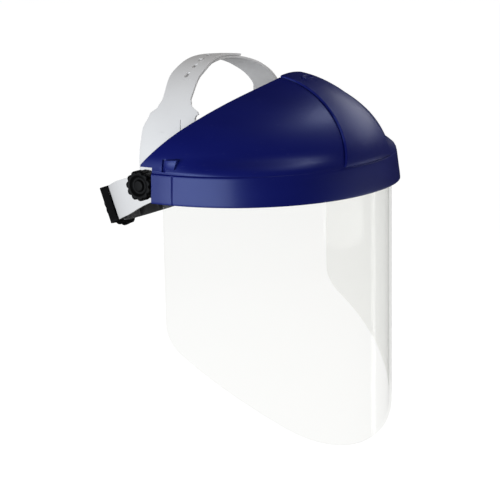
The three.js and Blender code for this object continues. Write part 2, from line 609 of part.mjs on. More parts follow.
for (const [name, side] of Object.entries(SIDES)) {
  const from = side * (BROW_END + 0.4);
  const to = side * 142.5;
  const ends = side > 0 ? [from, to] : [to, from];
  const half = (deg) => BAND.half + (BAND.rearHalf - BAND.half) * smooth((Math.abs(deg) - 104) / 22);
  const strip = loopStrip(...ends, 14, 0, -BAND.thick, half);
  place(`rear_strap_${name}`, combine(strip, { cut: [upright(rivetHole(side, RIVETS.rear))] }), GREY, bandGroup);
  for (const [spot, at] of Object.entries(RIVETS)) place(`strap_rivet_${spot}_${name}`, strapRivet(side, at), STEEL);
}

// ---- assembly: nape unit ----
place('nape_housing', napeHousing(), BLACK, bandGroup);
const coverR = NAPE.inner - GAP;
place('nape_cover', combine(napeArc(-NAPE.angle, NAPE.angle, coverR - 2.2, coverR, -NAPE.half, NAPE.half, 16),
  { cut: screwTools(1.8) }), BLACK, bandGroup);
const padOuter = coverR - 2.2 - GAP;
const padBlock = napeArc(-NAPE.angle - 2, NAPE.angle + 2, padOuter - 7, padOuter, -NAPE.half - 1, NAPE.half + 1, 16);
place('nape_pad', combine(padBlock, {
  cut: Object.values(SIDES).map((side) => napeScrewShape(side, SCREW_Z, 3.2, padOuter - 2, padOuter + 2)),
}), FOAM, bandGroup);
for (const [name, side] of Object.entries(SIDES)) {
  place(`rack_${name}`, rack(side), GREY, bandGroup);
  const shank = napeScrewShape(side, SCREW_Z, 1.25, coverR - 2, NAPE.outer - 4);
  const head = napeScrewShape(side, SCREW_Z, 2.6, coverR - 2.2 - GAP - 1.2, coverR - 2.2 - GAP);
  const neck = napeScrewShape(side, SCREW_Z, 1.25, coverR - 3, coverR - 1.5);
  place(`nape_screw_${name}`, combine(head, { add: [neck, shank] }), STEEL, bandGroup);
}
place('ratchet_pinion', pinion(), BLACK, bandGroup);
place('ratchet_knob', ratchetKnob(), BLACK, bandGroup);
const springY = NAPE.centreY + NAPE.outer - 2;
place('detent_ring', combine(rodBack(9.5, springY, springY + 1.6), {
  cut: [rodBack(7.2, springY - 1, springY + 3), box([-1.2, springY - 1, 0], [1.2, springY + 3, 12])],
}), STEEL, bandGroup);

export default root;
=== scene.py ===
"""Face shield: a navy crown visor with a clear window on a ratchet headband.
Lengths in the making code are millimetres in the object's own frame, scaled by MM when a mesh is made."""

import math

import bmesh
import bpy
import numpy as np
from mathutils import Matrix, Vector


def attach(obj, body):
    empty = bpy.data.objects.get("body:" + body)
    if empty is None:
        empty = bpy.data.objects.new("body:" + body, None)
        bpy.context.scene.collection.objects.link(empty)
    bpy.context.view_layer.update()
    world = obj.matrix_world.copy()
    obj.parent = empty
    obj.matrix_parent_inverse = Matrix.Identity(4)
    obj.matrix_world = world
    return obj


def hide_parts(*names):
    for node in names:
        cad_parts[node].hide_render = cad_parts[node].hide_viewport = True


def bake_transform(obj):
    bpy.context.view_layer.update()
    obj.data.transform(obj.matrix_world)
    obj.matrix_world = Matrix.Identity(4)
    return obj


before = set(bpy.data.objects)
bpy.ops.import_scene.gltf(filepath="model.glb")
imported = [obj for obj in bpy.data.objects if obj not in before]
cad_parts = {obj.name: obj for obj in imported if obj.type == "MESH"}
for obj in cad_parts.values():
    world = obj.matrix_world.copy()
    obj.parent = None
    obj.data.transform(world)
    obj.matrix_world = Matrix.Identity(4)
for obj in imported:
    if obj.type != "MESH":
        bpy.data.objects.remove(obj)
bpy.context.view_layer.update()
MM = 0.001

# ---- sizes shared by the visor's pieces, in millimetres ----
PLAN_POWER = 2.13
PLAN_BACK_Y = -19.3
BRIM = {"half_width": 126.0, "depth": 120.0, "top": 10.4, "bottom": -12.6, "rear": -12.5}
BRIM_NOTCH_TOP = 15.0
SEAM = {"y": -32.0, "half": 0.9, "deep": 0.7, "rows": 9}  # upright, over the lowest rows of the brim
DOME_BASE = 12.0
DOME_WALL = 2.5
DOME_EAR_Y = -1.0
DOME_EDGE = 15.5  # the rear edge lies in the plane y + z = this
DOME_WIDTHS = ((12, 125), (25, 122), (48, 99.5), (63.4, 67.6), (77.2, 22))
CHEEK_POWER = 1.6
RIDGE = {"base_y": -132.6, "length": 80.0, "height": 65.0, "power": 1.8, "wide": 36.2, "narrow": 15.4}
PANEL_RAISE = 1.2
PANEL_SAG = (4.5, 1.2)
GROOVE = {"depth": 0.9, "width": 1.7}
WINDOW = {"half_width": 120.5, "depth": 112.4, "thick": 2.0, "top": 8.6, "bottom": -220.0, "corner": 12.0}
WINDOW_ARC = {"radius": 155.0, "slope": math.radians(35.5)}
STUD_YS = (-25.0, -38.0)
STUD_ANGLES = (-50, 0, 50)
STUD_HOLE = 4.2
WINDOW_STUD = ((0, 0), (3.5, 0), (3.5, 8.0), (3.2, 8.4), (2.4, 8.6), (0, 8.6))

# ---- sizes of the headband ----
BAND = {"half_width": 78.0, "depth": 108.0, "centre_y": 10.0, "thick": 1.8}
BAND_HALF = {"brow": 15.5, "side": 12.5, "rear": 15.0}
BAND_TILT = math.radians(-21)
BROW_END = 98.0
STRAP = {"top": 89.0, "base": 10.0, "half": 78.0, "bulge": 0.9, "thick": 1.8, "fore_aft": 118.8,
         "droop": 2.4, "droop_y": 36.0, "hem": 9.0}
NAPE = {"centre_y": 56.0, "angle": 48.0, "half": 15.5, "outer": 68.6, "inner": 60.2, "cover": 2.2}
GAP = 0.3  # between neighbouring pieces
BRACKET_X = (113.6, 116.6)
SIDES = {"left": 1, "right": -1}


# ---- camera ----
def make_camera():
    """Looks from the wearer's front right, a little above the pivots."""
    azimuth, elevation, roll = math.radians(55.0), math.radians(9.3), math.radians(1.2)
    distance, focal = 1.4, 3.332  # the focal length in widths of the picture
    off_x, off_y = 0.038, -0.1748  # from the pivots' centre to the middle of the picture, in the same widths
    right = Vector((math.cos(azimuth), -math.sin(azimuth), 0))
    rise = math.sin(elevation)
    up = Vector((math.sin(azimuth) * rise, math.cos(azimuth) * rise, math.cos(elevation)))
    back = right.cross(up)
    rolled_right = right * math.cos(roll) - up * math.sin(roll)
    rolled_up = right * math.sin(roll) + up * math.cos(roll)
    forward = (-back * focal + rolled_right * off_x + rolled_up * off_y).normalized()
    cam_right = (rolled_right - forward * rolled_right.dot(forward)).normalized()
    cam_up = cam_right.cross(forward)
    data = bpy.data.cameras.new("camera")
    data.lens = data.sensor_width * focal
    data.clip_end = 20.0
    camera = bpy.data.objects.new("camera", data)
    columns = Matrix((cam_right, cam_up, -forward)).transposed().to_4x4()
    camera.matrix_world = Matrix.Translation(back * distance) @ columns
    bpy.context.collection.objects.link(camera)
    bpy.context.scene.camera = camera


make_camera()


# ---- shader maths ----
class Wire:
    """A shader socket that Python operators work on; each one adds a Math node."""

    def __init__(self, tree, socket):
        self.tree = tree
        self.socket = socket

    def maths(self, operation, *others):
        return self.tree.add("ShaderNodeMath", {"operation": operation}, (self, *others))["Value"]

    def __add__(self, other):
        return self.maths("ADD", other)

    def __sub__(self, other):
        return self.maths("SUBTRACT", other)

    def __rsub__(self, other):
        return self.tree.add("ShaderNodeMath", {"operation": "SUBTRACT"}, (other, self))["Value"]

    def __mul__(self, other):
        return self.maths("MULTIPLY", other)

    def __pow__(self, other):
        return self.maths("POWER", other)

    __radd__ = __add__
    __rmul__ = __mul__

    def clamp(self):
        return self.tree.add("ShaderNodeClamp", {}, (self,))["Result"]

    def between(self, low, high):
        """0 at low, 1 at high, smooth between."""
        return self.tree.add("ShaderNodeMapRange", {"interpolation_type": "SMOOTHSTEP"}, (self, low, high))["Result"]


class Outputs:
    """A node's outputs by name, as wires."""

    def __init__(self, tree, node):
        self.tree = tree
        self.node = node

    def __getitem__(self, name):
        return Wire(self.tree, self.node.outputs[name])


class Finish:
    """One material's node tree."""

    def __init__(self, name):
        self.material = bpy.data.materials.new(name)
        self.material.use_nodes = True
        self.nodes = self.material.node_tree.nodes
        self.links = self.material.node_tree.links
        self.nodes.clear()

    def add(self, kind, settings=None, inputs=()):
        node = self.nodes.new(kind)
        for key, value in (settings or {}).items():
            setattr(node, key, value)
        pairs = inputs.items() if isinstance(inputs, dict) else enumerate(inputs)
        for key, value in pairs:
            if isinstance(value, Wire):
                self.links.new(value.socket, node.inputs[key])
            else:
                node.inputs[key].default_value = value
        return Outputs(self, node)

    def place(self, scale=(1, 1, 1), turn=(0, 0, 0)):
        coordinates = self.add("ShaderNodeTexCoord")["Object"]
        return self.add("ShaderNodeMapping", {}, {"Vector": coordinates, "Scale": scale, "Rotation": turn})["Vector"]

    def noise(self, at, scale, detail, roughness=0.5):
        inputs = {"Vector": at, "Scale": scale, "Detail": detail, "Roughness": roughness}
        return self.add("ShaderNodeTexNoise", {}, inputs)["Fac"]

    def mix(self, factor, first, second):
        node = self.add("ShaderNodeMix", {"data_type": "RGBA"}).node
        for index, value in ((0, factor), (6, first), (7, second)):
            if isinstance(value, Wire):
                self.links.new(value.socket, node.inputs[index])
            else:
                node.inputs[index].default_value = value
        return Wire(self, node.outputs[2])

    def bump(self, height, strength, distance):
        inputs = {"Height": height, "Strength": strength, "Distance": distance}
        return self.add("ShaderNodeBump", {}, inputs)["Normal"]

    def plastic(self, inputs):
        return self.add("ShaderNodeBsdfPrincipled", {}, inputs)["BSDF"]

    def done(self, shader):
        output = self.add("ShaderNodeOutputMaterial")
        self.links.new(shader.socket, output.node.inputs["Surface"])
        return self.material


def rgb(r, g, b):
    """A colour given as sRGB 0 to 255, made linear."""
    def linear(v):
        v /= 255
        return v / 12.92 if v <= 0.04045 else ((v + 0.055) / 1.055) ** 2.4
    return (linear(r), linear(g), linear(b), 1.0)


# ---- materials ----
def navy_plastic():
    """Glossy moulded shell: faint flow marks, fine grain and rubbed high spots."""
    f = Finish("navy_plastic")
    here = f.place()
    flow = f.noise(f.place(scale=(1, 1, 3.5)), 14, 4)
    speck = f.noise(here, 900, 2)
    scuff = f.noise(f.place(scale=(1, 1, 9), turn=(0.3, 0.2, 0)), 160, 3).between(0.66, 0.8)
    wear = f.add("ShaderNodeNewGeometry")["Pointiness"].between(0.53, 0.6)
    colour = f.mix(flow, rgb(6, 10, 84), rgb(10, 18, 103))
    colour = f.mix(wear * 0.3, colour, rgb(58, 68, 140))
    colour = f.mix(scuff * 0.1, colour, rgb(96, 104, 160))
    roughness = 0.34 + flow * 0.08 + speck * 0.05 + scuff * 0.12
    height = speck * 0.5 + flow * 0.5
    return f.done(f.plastic({
        "Base Color": colour, "Roughness": roughness, "Normal": f.bump(height, 0.12, 0.0002),
        "Specular IOR Level": 0.46, "Specular Tint": rgb(172, 194, 255), "Coat Weight": 0.04, "Coat Roughness": 0.2,
    }))


def clear_plastic():
    """Clear window: nearly invisible face on, mirror-like where it turns away, with wipe marks in its gloss."""
    f = Finish("clear_window")
    here = f.place()
    wipes = f.noise(f.place(scale=(1, 1, 0.25)), 60, 4)
    dust = f.noise(here, 700, 2).between(0.62, 0.8)
    gloss = f.plastic({
        "Base Color": rgb(238, 241, 243), "Roughness": 0.03 + wipes * 0.04 + dust * 0.1,
        "Normal": f.bump(wipes, 0.03, 0.0004), "Specular IOR Level": 0.9, "Coat Weight": 1.0, "Coat Roughness": 0.02,
    })
    clear = f.add("ShaderNodeBsdfTransparent", {}, (rgb(250, 250, 249),))["BSDF"]
    turn = f.add("ShaderNodeLayerWeight", {}, {"Blend": 0.32})["Facing"]
    share = (0.028 + dust * 0.012 + turn ** 3.0 * 0.3).clamp()
    mixed = f.add("ShaderNodeMixShader", {}, (share,))
    f.links.new(clear.socket, mixed.node.inputs[1])
    f.links.new(gloss.socket, mixed.node.inputs[2])
    return f.done(mixed["Shader"])


def grey_plastic():
    """Soft light grey strap plastic with a satin skin and slight scuffs."""
    f = Finish("grey_strap_plastic")
    here = f.place()
    cloud = f.noise(here, 22, 4)
    grain = f.noise(here, 1300, 2)
    scuff = f.noise(f.place(scale=(6, 1, 1)), 120, 3).between(0.64, 0.82)
    colour = f.mix(cloud, rgb(218, 216, 216), rgb(230, 229, 228))
    colour = f.mix(scuff * 0.25, colour, rgb(196, 194, 193))
    roughness = 0.42 + grain * 0.08 + scuff * 0.1
    return f.done(f.plastic({
        "Base Color": colour, "Roughness": roughness, "Normal": f.bump(grain + cloud * 0.4, 0.1, 0.0002),
        "Specular IOR Level": 0.45,
    }))


def black_plastic():
    """Black glass-filled plastic: a fine spark-eroded texture with rubbed edges."""
    f = Finish("black_moulded_plastic")
    here = f.place()
    grain = f.noise(here, 1500, 3, 0.6)
    cloud = f.noise(here, 60, 3)
    wear = f.add("ShaderNodeNewGeometry")["Pointiness"].between(0.54, 0.64)
    colour = f.mix(cloud, rgb(6, 6, 7), rgb(12, 12, 13))
    colour = f.mix(wear * 0.35, colour, rgb(54, 54, 58))
    return f.done(f.plastic({
        "Base Color": colour, "Roughness": 0.46 + grain * 0.16 - wear * 0.1,
        "Normal": f.bump(grain, 0.22, 0.0002), "Specular IOR Level": 0.14,
    }))


def covered_foam():
    """Black knitted cover over foam, read from the pad's own UV map in millimetres."""
    f = Finish("covered_foam")
    uv = f.add("ShaderNodeUVMap", {"uv_map": "cloth"})["UV"]
    rows = f.add("ShaderNodeTexWave", {"bands_direction": "X", "wave_profile": "SIN"},
                 {"Vector": uv, "Scale": 0.42, "Distortion": 0.6, "Detail": 1.0})["Fac"]
    courses = f.add("ShaderNodeTexWave", {"bands_direction": "Y", "wave_profile": "SIN"},
                    {"Vector": uv, "Scale": 0.36, "Distortion": 0.8, "Detail": 1.0})["Fac"]
    fuzz = f.noise(f.place(), 1800, 3)
    knit = rows * 0.5 + courses * 0.5
    colour = f.mix(knit, rgb(14, 14, 15), rgb(38, 38, 41))
    colour = f.mix(fuzz.between(0.6, 0.8) * 0.4, colour, rgb(62, 62, 66))
    return f.done(f.plastic({
        "Base Color": colour, "Roughness": 0.86 + fuzz * 0.1, "Normal": f.bump(knit + fuzz * 0.4, 0.5, 0.0004),
        "Specular IOR Level": 0.25, "Sheen Weight": 0.25, "Sheen Roughness": 0.5,
    }))


def thread():
    """Dark grey sewing thread with a twist."""
    f = Finish("sewing_thread")
    twist = f.add("ShaderNodeTexWave", {"bands_direction": "DIAGONAL"}, {"Vector": f.place(), "Scale": 900.0})["Fac"]
    colour = f.mix(twist, rgb(48, 48, 52), rgb(84, 84, 88))
    return f.done(f.plastic({"Base Color": colour, "Roughness": 0.7, "Normal": f.bump(twist, 0.4, 0.0002)}))


def plated_steel():
    """Bright plated steel with fine turning marks."""
    f = Finish("plated_steel")
    here = f.place()
    marks = f.noise(f.place(scale=(20, 1, 1)), 400, 3)
    spots = f.noise(here, 500, 2).between(0.62, 0.76)
    colour = f.mix(marks, rgb(168, 170, 174), rgb(206, 208, 211))
    return f.done(f.plastic({
        "Base Color": colour, "Metallic": 1.0 - spots * 0.15, "Roughness": 0.24 + marks * 0.14 + spots * 0.2,
        "Normal": f.bump(marks, 0.2, 0.0001),
    }))


NAVY = navy_plastic()
CLEAR = clear_plastic()
GREY = grey_plastic()
BLACK = black_plastic()
FOAM = covered_foam()
THREAD = thread()
STEEL = plated_steel()
SLOTS = {NAVY: "crown_plastic", CLEAR: "clear_window", GREY: "grey_plastic", BLACK: "black_plastic",
         FOAM: "foam", THREAD: "foam", STEEL: "steel"}


# ---- mesh helpers ----
def make_object(name, mesh, material):
    piece = bpy.data.objects.new(name, mesh)
    bpy.context.collection.objects.link(piece)
    mesh.materials.append(material)
    return piece


def mesh_of(name, points, faces):
    mesh = bpy.data.meshes.new(name)
    mesh.from_pydata([tuple(np.asarray(p, float) * MM) for p in points], [], faces)
    return mesh


def slab_data(outer, inner):
    """Points and faces of the closed body between two matching grids, [column][row]."""
    cols, rows = len(outer), len(outer[0])
    points = [p for column in outer for p in column] + [p for column in inner for p in column]
    faces = []

    def o(i, j):
        return i * rows + j

    def n(i, j):
        return cols * rows + i * rows + j

    for i in range(cols - 1):
        for j in range(rows - 1):
            faces.append((o(i, j), o(i, j + 1), o(i + 1, j + 1), o(i + 1, j)))
            faces.append((n(i, j), n(i + 1, j), n(i + 1, j + 1), n(i, j + 1)))
        faces.append((o(i, 0), o(i + 1, 0), n(i + 1, 0), n(i, 0)))
        faces.append((o(i, rows - 1), n(i, rows - 1), n(i + 1, rows - 1), o(i + 1, rows - 1)))
    for j in range(rows - 1):
        faces.append((o(0, j), n(0, j), n(0, j + 1), o(0, j + 1)))
        faces.append((o(cols - 1, j), o(cols - 1, j + 1), n(cols - 1, j + 1), n(cols - 1, j)))
    return points, faces


def face_out(mesh):
    """Merges doubles and turns every face outwards."""
    bm = bmesh.new()
    bm.from_mesh(mesh)
    bmesh.ops.remove_doubles(bm, verts=bm.verts, dist=1e-6)
    bmesh.ops.recalc_face_normals(bm, faces=bm.faces)
    bm.to_mesh(mesh)
    bm.free()


def slab(name, outer, inner, material):
    mesh = mesh_of(name, *slab_data(outer, inner))
    face_out(mesh)
    return make_object(name, mesh, material)


def apply_modifiers(piece):
    """Replaces the piece's mesh by its finished form."""
    graph = bpy.context.evaluated_depsgraph_get()
    graph.update()
    mesh = bpy.data.meshes.new_from_object(piece.evaluated_get(graph))
    piece.modifiers.clear()
    old = piece.data
    piece.data = mesh
    bpy.data.meshes.remove(old)


def add_bevel(piece, width, segments, angle):
    bevel = piece.modifiers.new("edges", "BEVEL")
    bevel.width = width * MM
    bevel.segments = segments
    bevel.limit_method = "ANGLE"
    bevel.angle_limit = math.radians(angle)


def soften(piece, width, segments, angle=35):
    """Rounds the edges and shades the rest smooth."""
    add_bevel(piece, width, segments, angle)
    apply_modifiers(piece)
    smooth_shade(piece, angle + 5)


def smooth_shade(piece, angle=40):
    piece.data.shade_smooth()
    bm = bmesh.new()
    bm.from_mesh(piece.data)
    for edge in bm.edges:
        edge.smooth = len(edge.link_faces) == 2 and edge.calc_face_angle(0) < math.radians(angle)
    bm.to_mesh(piece.data)
    bm.free()


def discard(piece):
    mesh = piece.data
    bpy.data.objects.remove(piece)
    bpy.data.meshes.remove(mesh)


def join(name, pieces):
    """One object holding the faces of several; their own objects go."""
    bm = bmesh.new()
    for piece in pieces:
        bm.from_mesh(piece.data)
    mesh = bpy.data.meshes.new(name)
    bm.to_mesh(mesh)
    bm.free()
    material = pieces[0].data.materials[0]
    for piece in pieces:
        discard(piece)
    return make_object(name, mesh, material)


def carve(piece, *cutters):
    """Cuts the cutters out of the piece and removes them."""
    for cutter in cutters:
        cut = piece.modifiers.new("cut", "BOOLEAN")
        cut.operation = "DIFFERENCE"
        cut.solver = "MANIFOLD"
        cut.object = cutter
    apply_modifiers(piece)
    for cutter in cutters:
        discard(cutter)


def block(name, low, high):
    x, y, z = zip(low, high)
    outer, inner = ([[(a, depth, b) for b in z] for a in x] for depth in (y[1], y[0]))
    return slab(name, outer, inner, NAVY)


def finish_piece(piece, body, *nodes):
    """Puts the piece on its body, in place of the CAD nodes that it stands for."""
    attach(piece, body)
    if nodes:
        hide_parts(*nodes)
        if len(nodes) == 1:
            piece.name = nodes[0] + "_finished"
    SLOTS[piece.data.materials[0]]
    return piece


def spin(name, profile, material, axis="x", centre=(0, 0, 0), lobes=0, depth=0.0, *, steps):
    """A turned body: profile is (radius, along) from axis to axis.
    A third value says how much of the lobes' dip a point takes."""
    columns = []
    for k in range(steps):
        a = 2 * math.pi * k / steps
        dip = 1 - abs(math.cos(a * lobes / 2)) ** 0.8 if lobes else 0
        ring = []
        for point in profile:
            r = point[0] - (depth * dip * point[2] if len(point) > 2 else 0)
            u, v, w = point[1], r * math.cos(a), r * math.sin(a)
            ring.append((u, v, w) if axis == "x" else (v, u, w))
        columns.append(np.array(ring) + np.array(centre))
    rows = len(profile)
    points = [p for column in columns for p in column]
    faces = []
    for k in range(steps):
        for j in range(rows - 1):
            a, b = k * rows + j, ((k + 1) % steps) * rows + j
            faces.append((a, a + 1, b + 1, b))
    mesh = mesh_of(name, points, faces)
    face_out(mesh)
    return make_object(name, mesh, material)


def tilt(piece):
    """Turns a piece made in the band's own frame into the object's frame."""
    piece.data.transform(Matrix.Rotation(BAND_TILT, 4, "X"))
    return piece


def smoothstep(t):
    t = min(max(t, 0.0), 1.0)
    return t * t * (3 - 2 * t)


# ---- visor surfaces ----
def plan_point(angle, half_width, depth, z, power=PLAN_POWER):
    s, c = math.sin(angle), max(math.cos(angle), 0.0)
    x = half_width * math.copysign(abs(s) ** (2 / power), s)
    return np.array((x, PLAN_BACK_Y - depth * c ** (2 / power), z))


def smooth_table(table):
    """A smooth curve through the points of a table, as dense arrays."""
    xs = np.array([p[0] for p in table], float)
    ys = np.array([p[1] for p in table], float)
    slopes = np.gradient(ys, xs)
    at = np.linspace(xs[0], xs[-1], 400)
    i = np.clip(np.searchsorted(xs, at) - 1, 0, len(xs) - 2)
    h = xs[i + 1] - xs[i]
    t = (at - xs[i]) / h
    value = ((2 * t**3 - 3 * t**2 + 1) * ys[i] + (t**3 - 2 * t**2 + t) * h * slopes[i]
             + (3 * t**2 - 2 * t**3) * ys[i + 1] + (t**3 - t**2) * h * slopes[i + 1])
    return at, value


WIDTH_TABLE = smooth_table(DOME_WIDTHS)


def dome_half_width(z):
    return float(np.interp(z, *WIDTH_TABLE))


def ridge_point(z):
    rise = min(max((z - DOME_BASE) / RIDGE["height"], 0.0), 1.0)
    run = RIDGE["length"] * (1 - (1 - rise ** RIDGE["power"]) ** (1 / RIDGE["power"]))
    return np.array((RIDGE["wide"] - (RIDGE["wide"] - RIDGE["narrow"]) * rise**0.85, RIDGE["base_y"] + run, z))


def dome_side(share, z):
    """A point of the dome's cheek: share 0 on the panel's ridge, 1 on the widest line."""
    ridge, half_width = ridge_point(z), dome_half_width(z)
    power = PLAN_POWER + (CHEEK_POWER - PLAN_POWER) * smoothstep((z - DOME_BASE) / 12)
    ratio = min(ridge[0] / half_width, 0.97)
    depth = (PLAN_BACK_Y - ridge[1]) / (1 - ratio**power) ** (1 / power)
    start = math.asin(ratio ** (power / 2))
    return plan_point(start + share * (math.pi / 2 - start), half_width, depth, z, power)


def ridge_span(z):
    ridge = ridge_point(z)
    return math.hypot(dome_half_width(z) - ridge[0], PLAN_BACK_Y - ridge[1])


def bisect(low, high, below, steps):
    """The value where below(value) turns from true to false."""
    for _ in range(steps):
        mid = (low + high) / 2
        low, high = (mid, high) if below(mid) else (low, mid)
    return low


def edge_height(at):
    """Where the column at(z) meets the plane of the dome's rear edge."""
    return bisect(DOME_BASE, DOME_BASE + RIDGE["height"] - 0.05, lambda z: at(z)[1] + z < DOME_EDGE, 36)


# rows of the brim: height, how far out it stands at the ears, and how far out in front, where it leans back
BRIM_ROWS = [(BRIM["bottom"], 1.0, 1.0), (-11.0, 0.95, 0.9), (-8.0, 0.8, 0.55), (-4.0, 0.55, 0.0), (0.0, 0.35, -0.55),
             (4.0, 0.2, -1.1), (8.0, 0.08, -1.65), (9.6, 0.0, -1.9), (10.1, -0.1, -2.0), (10.4, -0.35, -2.1),
             (10.6, -0.75, -2.2), (10.8, -1.1, -2.3), (11.4, -1.2, -2.4)]
AWAY = 99.0  # the distance of columns that aren't beside the ridge
DOME_RISE = [math.sin(t * math.pi / 2) for t in np.linspace(0, 1, 34)]


def crown_column(at, plan_angle, fixed_y=None):
    """One column of the crown's base surface, from the brim's lower edge to the dome's rear edge."""
    edge = edge_height(at)
    column = []
    for z, ear, front in BRIM_ROWS:
        grow = ear + (front - ear) * smoothstep((math.cos(plan_angle) ** (2 / PLAN_POWER) - 0.45) / 0.5)
        p = plan_point(plan_angle, BRIM["half_width"] + grow, BRIM["depth"] + grow, z)
        if fixed_y is not None:
            p[1] = fixed_y
        column.append(p)
    column += [at(DOME_BASE + t * (edge - DOME_BASE)) for t in DOME_RISE]
    return column


def base_plan_angle(x):
    return math.asin(min(abs(x) / DOME_WIDTHS[0][1], 1.0) ** (PLAN_POWER / 2))


def seam_shares():
    """Shares of the columns that carry the brim's upright seam."""
    ys = [SEAM["y"] + d for d in (1.6, 0.9, 0.45, 0.0, -0.45, -0.9, -1.6)]
    return [bisect(0.0, 1.0, lambda share, y=y: dome_side(share, DOME_BASE)[1] < y, 30) for y in ys]


def crown_half():
    """Columns of the wearer's left half, from the ear to the middle, each with its distance outside the ridge."""
    columns, distances = [], []
    for y in np.linspace(DOME_EAR_Y, PLAN_BACK_Y, 12)[:-1]:
        columns.append(crown_column(lambda z, y=y: dome_side(1.0, z) * (1, 0, 1) + (0, y, 0), math.pi / 2, fixed_y=y))
        distances.append(AWAY)
    shares = sorted(set(np.linspace(0, 1, 52)[1:]) | set(seam_shares()), reverse=True)
    for share in shares:
        def at(z, share=share):
            start = 4.0 / ridge_span(z)
            return dome_side(start + share * (1 - start), z)
        columns.append(crown_column(at, base_plan_angle(at(DOME_BASE)[0]) if share < 1 else math.pi / 2))
        distances.append(AWAY)
    for distance in (4.0, 3.2, 2.6, 2.1, 1.8, 1.5, 1.2, 0.9, 0.6, 0.3, 0.0):
        def at(z, distance=distance):
            return dome_side(distance / ridge_span(z), z)
        columns.append(crown_column(at, base_plan_angle(at(DOME_BASE)[0])))
        distances.append(distance)
    return columns, distances


def panel_columns(ridge):
    """The front panel between the ridges: a shallow crowned strip that ends above the brim."""
    columns, insets = [], []
    first = len(BRIM_ROWS)
    edge = [(inset, None) for inset in (0.25, 0.5, 0.8, 1.2)]  # close columns where the panel's step rises
    for inset, u in edge + [(9.0, u) for u in np.linspace(0.94, 0, 16)]:
        column = []
        for row, p in enumerate(ridge):
            share = u if u is not None else (p[0] - inset) / p[0]
            x = share * p[0]
            if row < first:
                grow = BRIM_ROWS[row][2]
                half, depth = BRIM["half_width"] + grow, BRIM["depth"] + grow
                angle = math.asin((max(x, 0) / half) ** (PLAN_POWER / 2))
                q = plan_point(angle, half, depth, p[2])
                q[0] = x
                column.append(q)
                continue
            after, before = ridge[min(row + 1, len(ridge) - 1)], ridge[max(row - 1, first)]
            out = np.array((0, -(after[2] - before[2]), after[1] - before[1]))
            out /= np.linalg.norm(out)
            t = (p[2] - DOME_BASE) / RIDGE["height"]
            sag = PANEL_SAG[0] + (PANEL_SAG[1] - PANEL_SAG[0]) * t
            column.append(np.array((x, p[1], p[2])) + out * sag * (1 - share * share))
        columns.append(column)
        insets.append(inset)
    return columns, insets


def grid_normals(grid):
    """Outward unit normals of a grid [column][row] of points."""
    g = np.array(grid)
    along = np.gradient(g, axis=0)
    across = np.gradient(g, axis=1)
    n = np.cross(along, across)
    n /= np.linalg.norm(n, axis=2, keepdims=True) + 1e-12
    middle = g - np.array((0, -40, 0))
    return n if (n * middle).sum() > 0 else -n


def surface_offset(distance, inset, row, point):
    """How far the skin stands off the base surface: the raised panel, its groove and the brim's seam."""
    if row < len(BRIM_ROWS):
        seam = max(0.0, 1 - abs(point[1] - SEAM["y"]) / SEAM["half"])
        return -SEAM["deep"] * seam if distance == AWAY and row < SEAM["rows"] else 0.0
    fade = smoothstep((row - len(BRIM_ROWS)) / 2)
    if inset is not None:
        return PANEL_RAISE * (0.55 + 0.45 * smoothstep(inset / 0.8))
    return -GROOVE["depth"] * fade * smoothstep(1.3 * (1 - distance / GROOVE["width"]))


def crown_shell():
    half, distances = crown_half()
    panel, insets = panel_columns(half[-1])
    columns = half + panel
    marks = [(d, None) for d in distances] + [(0.0, i) for i in insets]
    mirrored = [[p * (-1, 1, 1) for p in column] for column in columns[:-1]][::-1]
    columns += mirrored
    marks += marks[:-1][::-1]
    normals = grid_normals(columns)
    outer = [[p + normals[i][j] * surface_offset(*marks[i], j, p) for j, p in enumerate(column)]
             for i, column in enumerate(columns)]
    inner = [[p - normals[i][j] * DOME_WALL for j, p in enumerate(column)] for i, column in enumerate(columns)]
    shell = slab("crown", outer, inner, NAVY)
    ear = block("ear_cut", (-140, BRIM["rear"], -40), (140, 30, BRIM_NOTCH_TOP))
    carve(shell, ear, *(latch_slot(side) for side in SIDES.values()))
    soften(shell, 0.35, 2, 50)
    extras = [*map(latch_tab, SIDES.values()), emblem()]
    extras += [inward_stud("window_stud", angle, WINDOW_STUD) for angle in STUD_ANGLES]
    extras += [bracket_boss(side, y) for side in SIDES.values() for y in STUD_YS]
    return finish_piece(join("crown", [shell, *extras]), "visor", "crown_shell")


def latch_slot(side):
    """The cutter of the upright slot behind the tab, which keeps a wall on its inside."""
    outer, inner = ([[(side * x, y, z) for x, z in zip(xs, (12.6, 22.2))] for y in (-25.0, -21.8)]
                    for xs in ((132, 132), (123.3, 121.0)))
    return slab("slot_cut", outer, inner, NAVY)


def latch_tab(side):
    """A raised trapezoid pad beside the slot, with softened edges."""
    corners = ((-25.4, 21.9), (-36.6, 22.6), (-33.9, 14.8), (-26.8, 14.8))
    outer = [[(side * 125.6, *corners[0]), (side * 125.6, *corners[3])],
             [(side * 124.9, *corners[1]), (side * 125.3, *corners[2])]]
    inner = [[(side * 121.5, p[1], p[2]) for p in column] for column in outer]
    tab = slab("latch_tab", outer, inner, NAVY)
    soften(tab, 0.5, 2)
    return tab


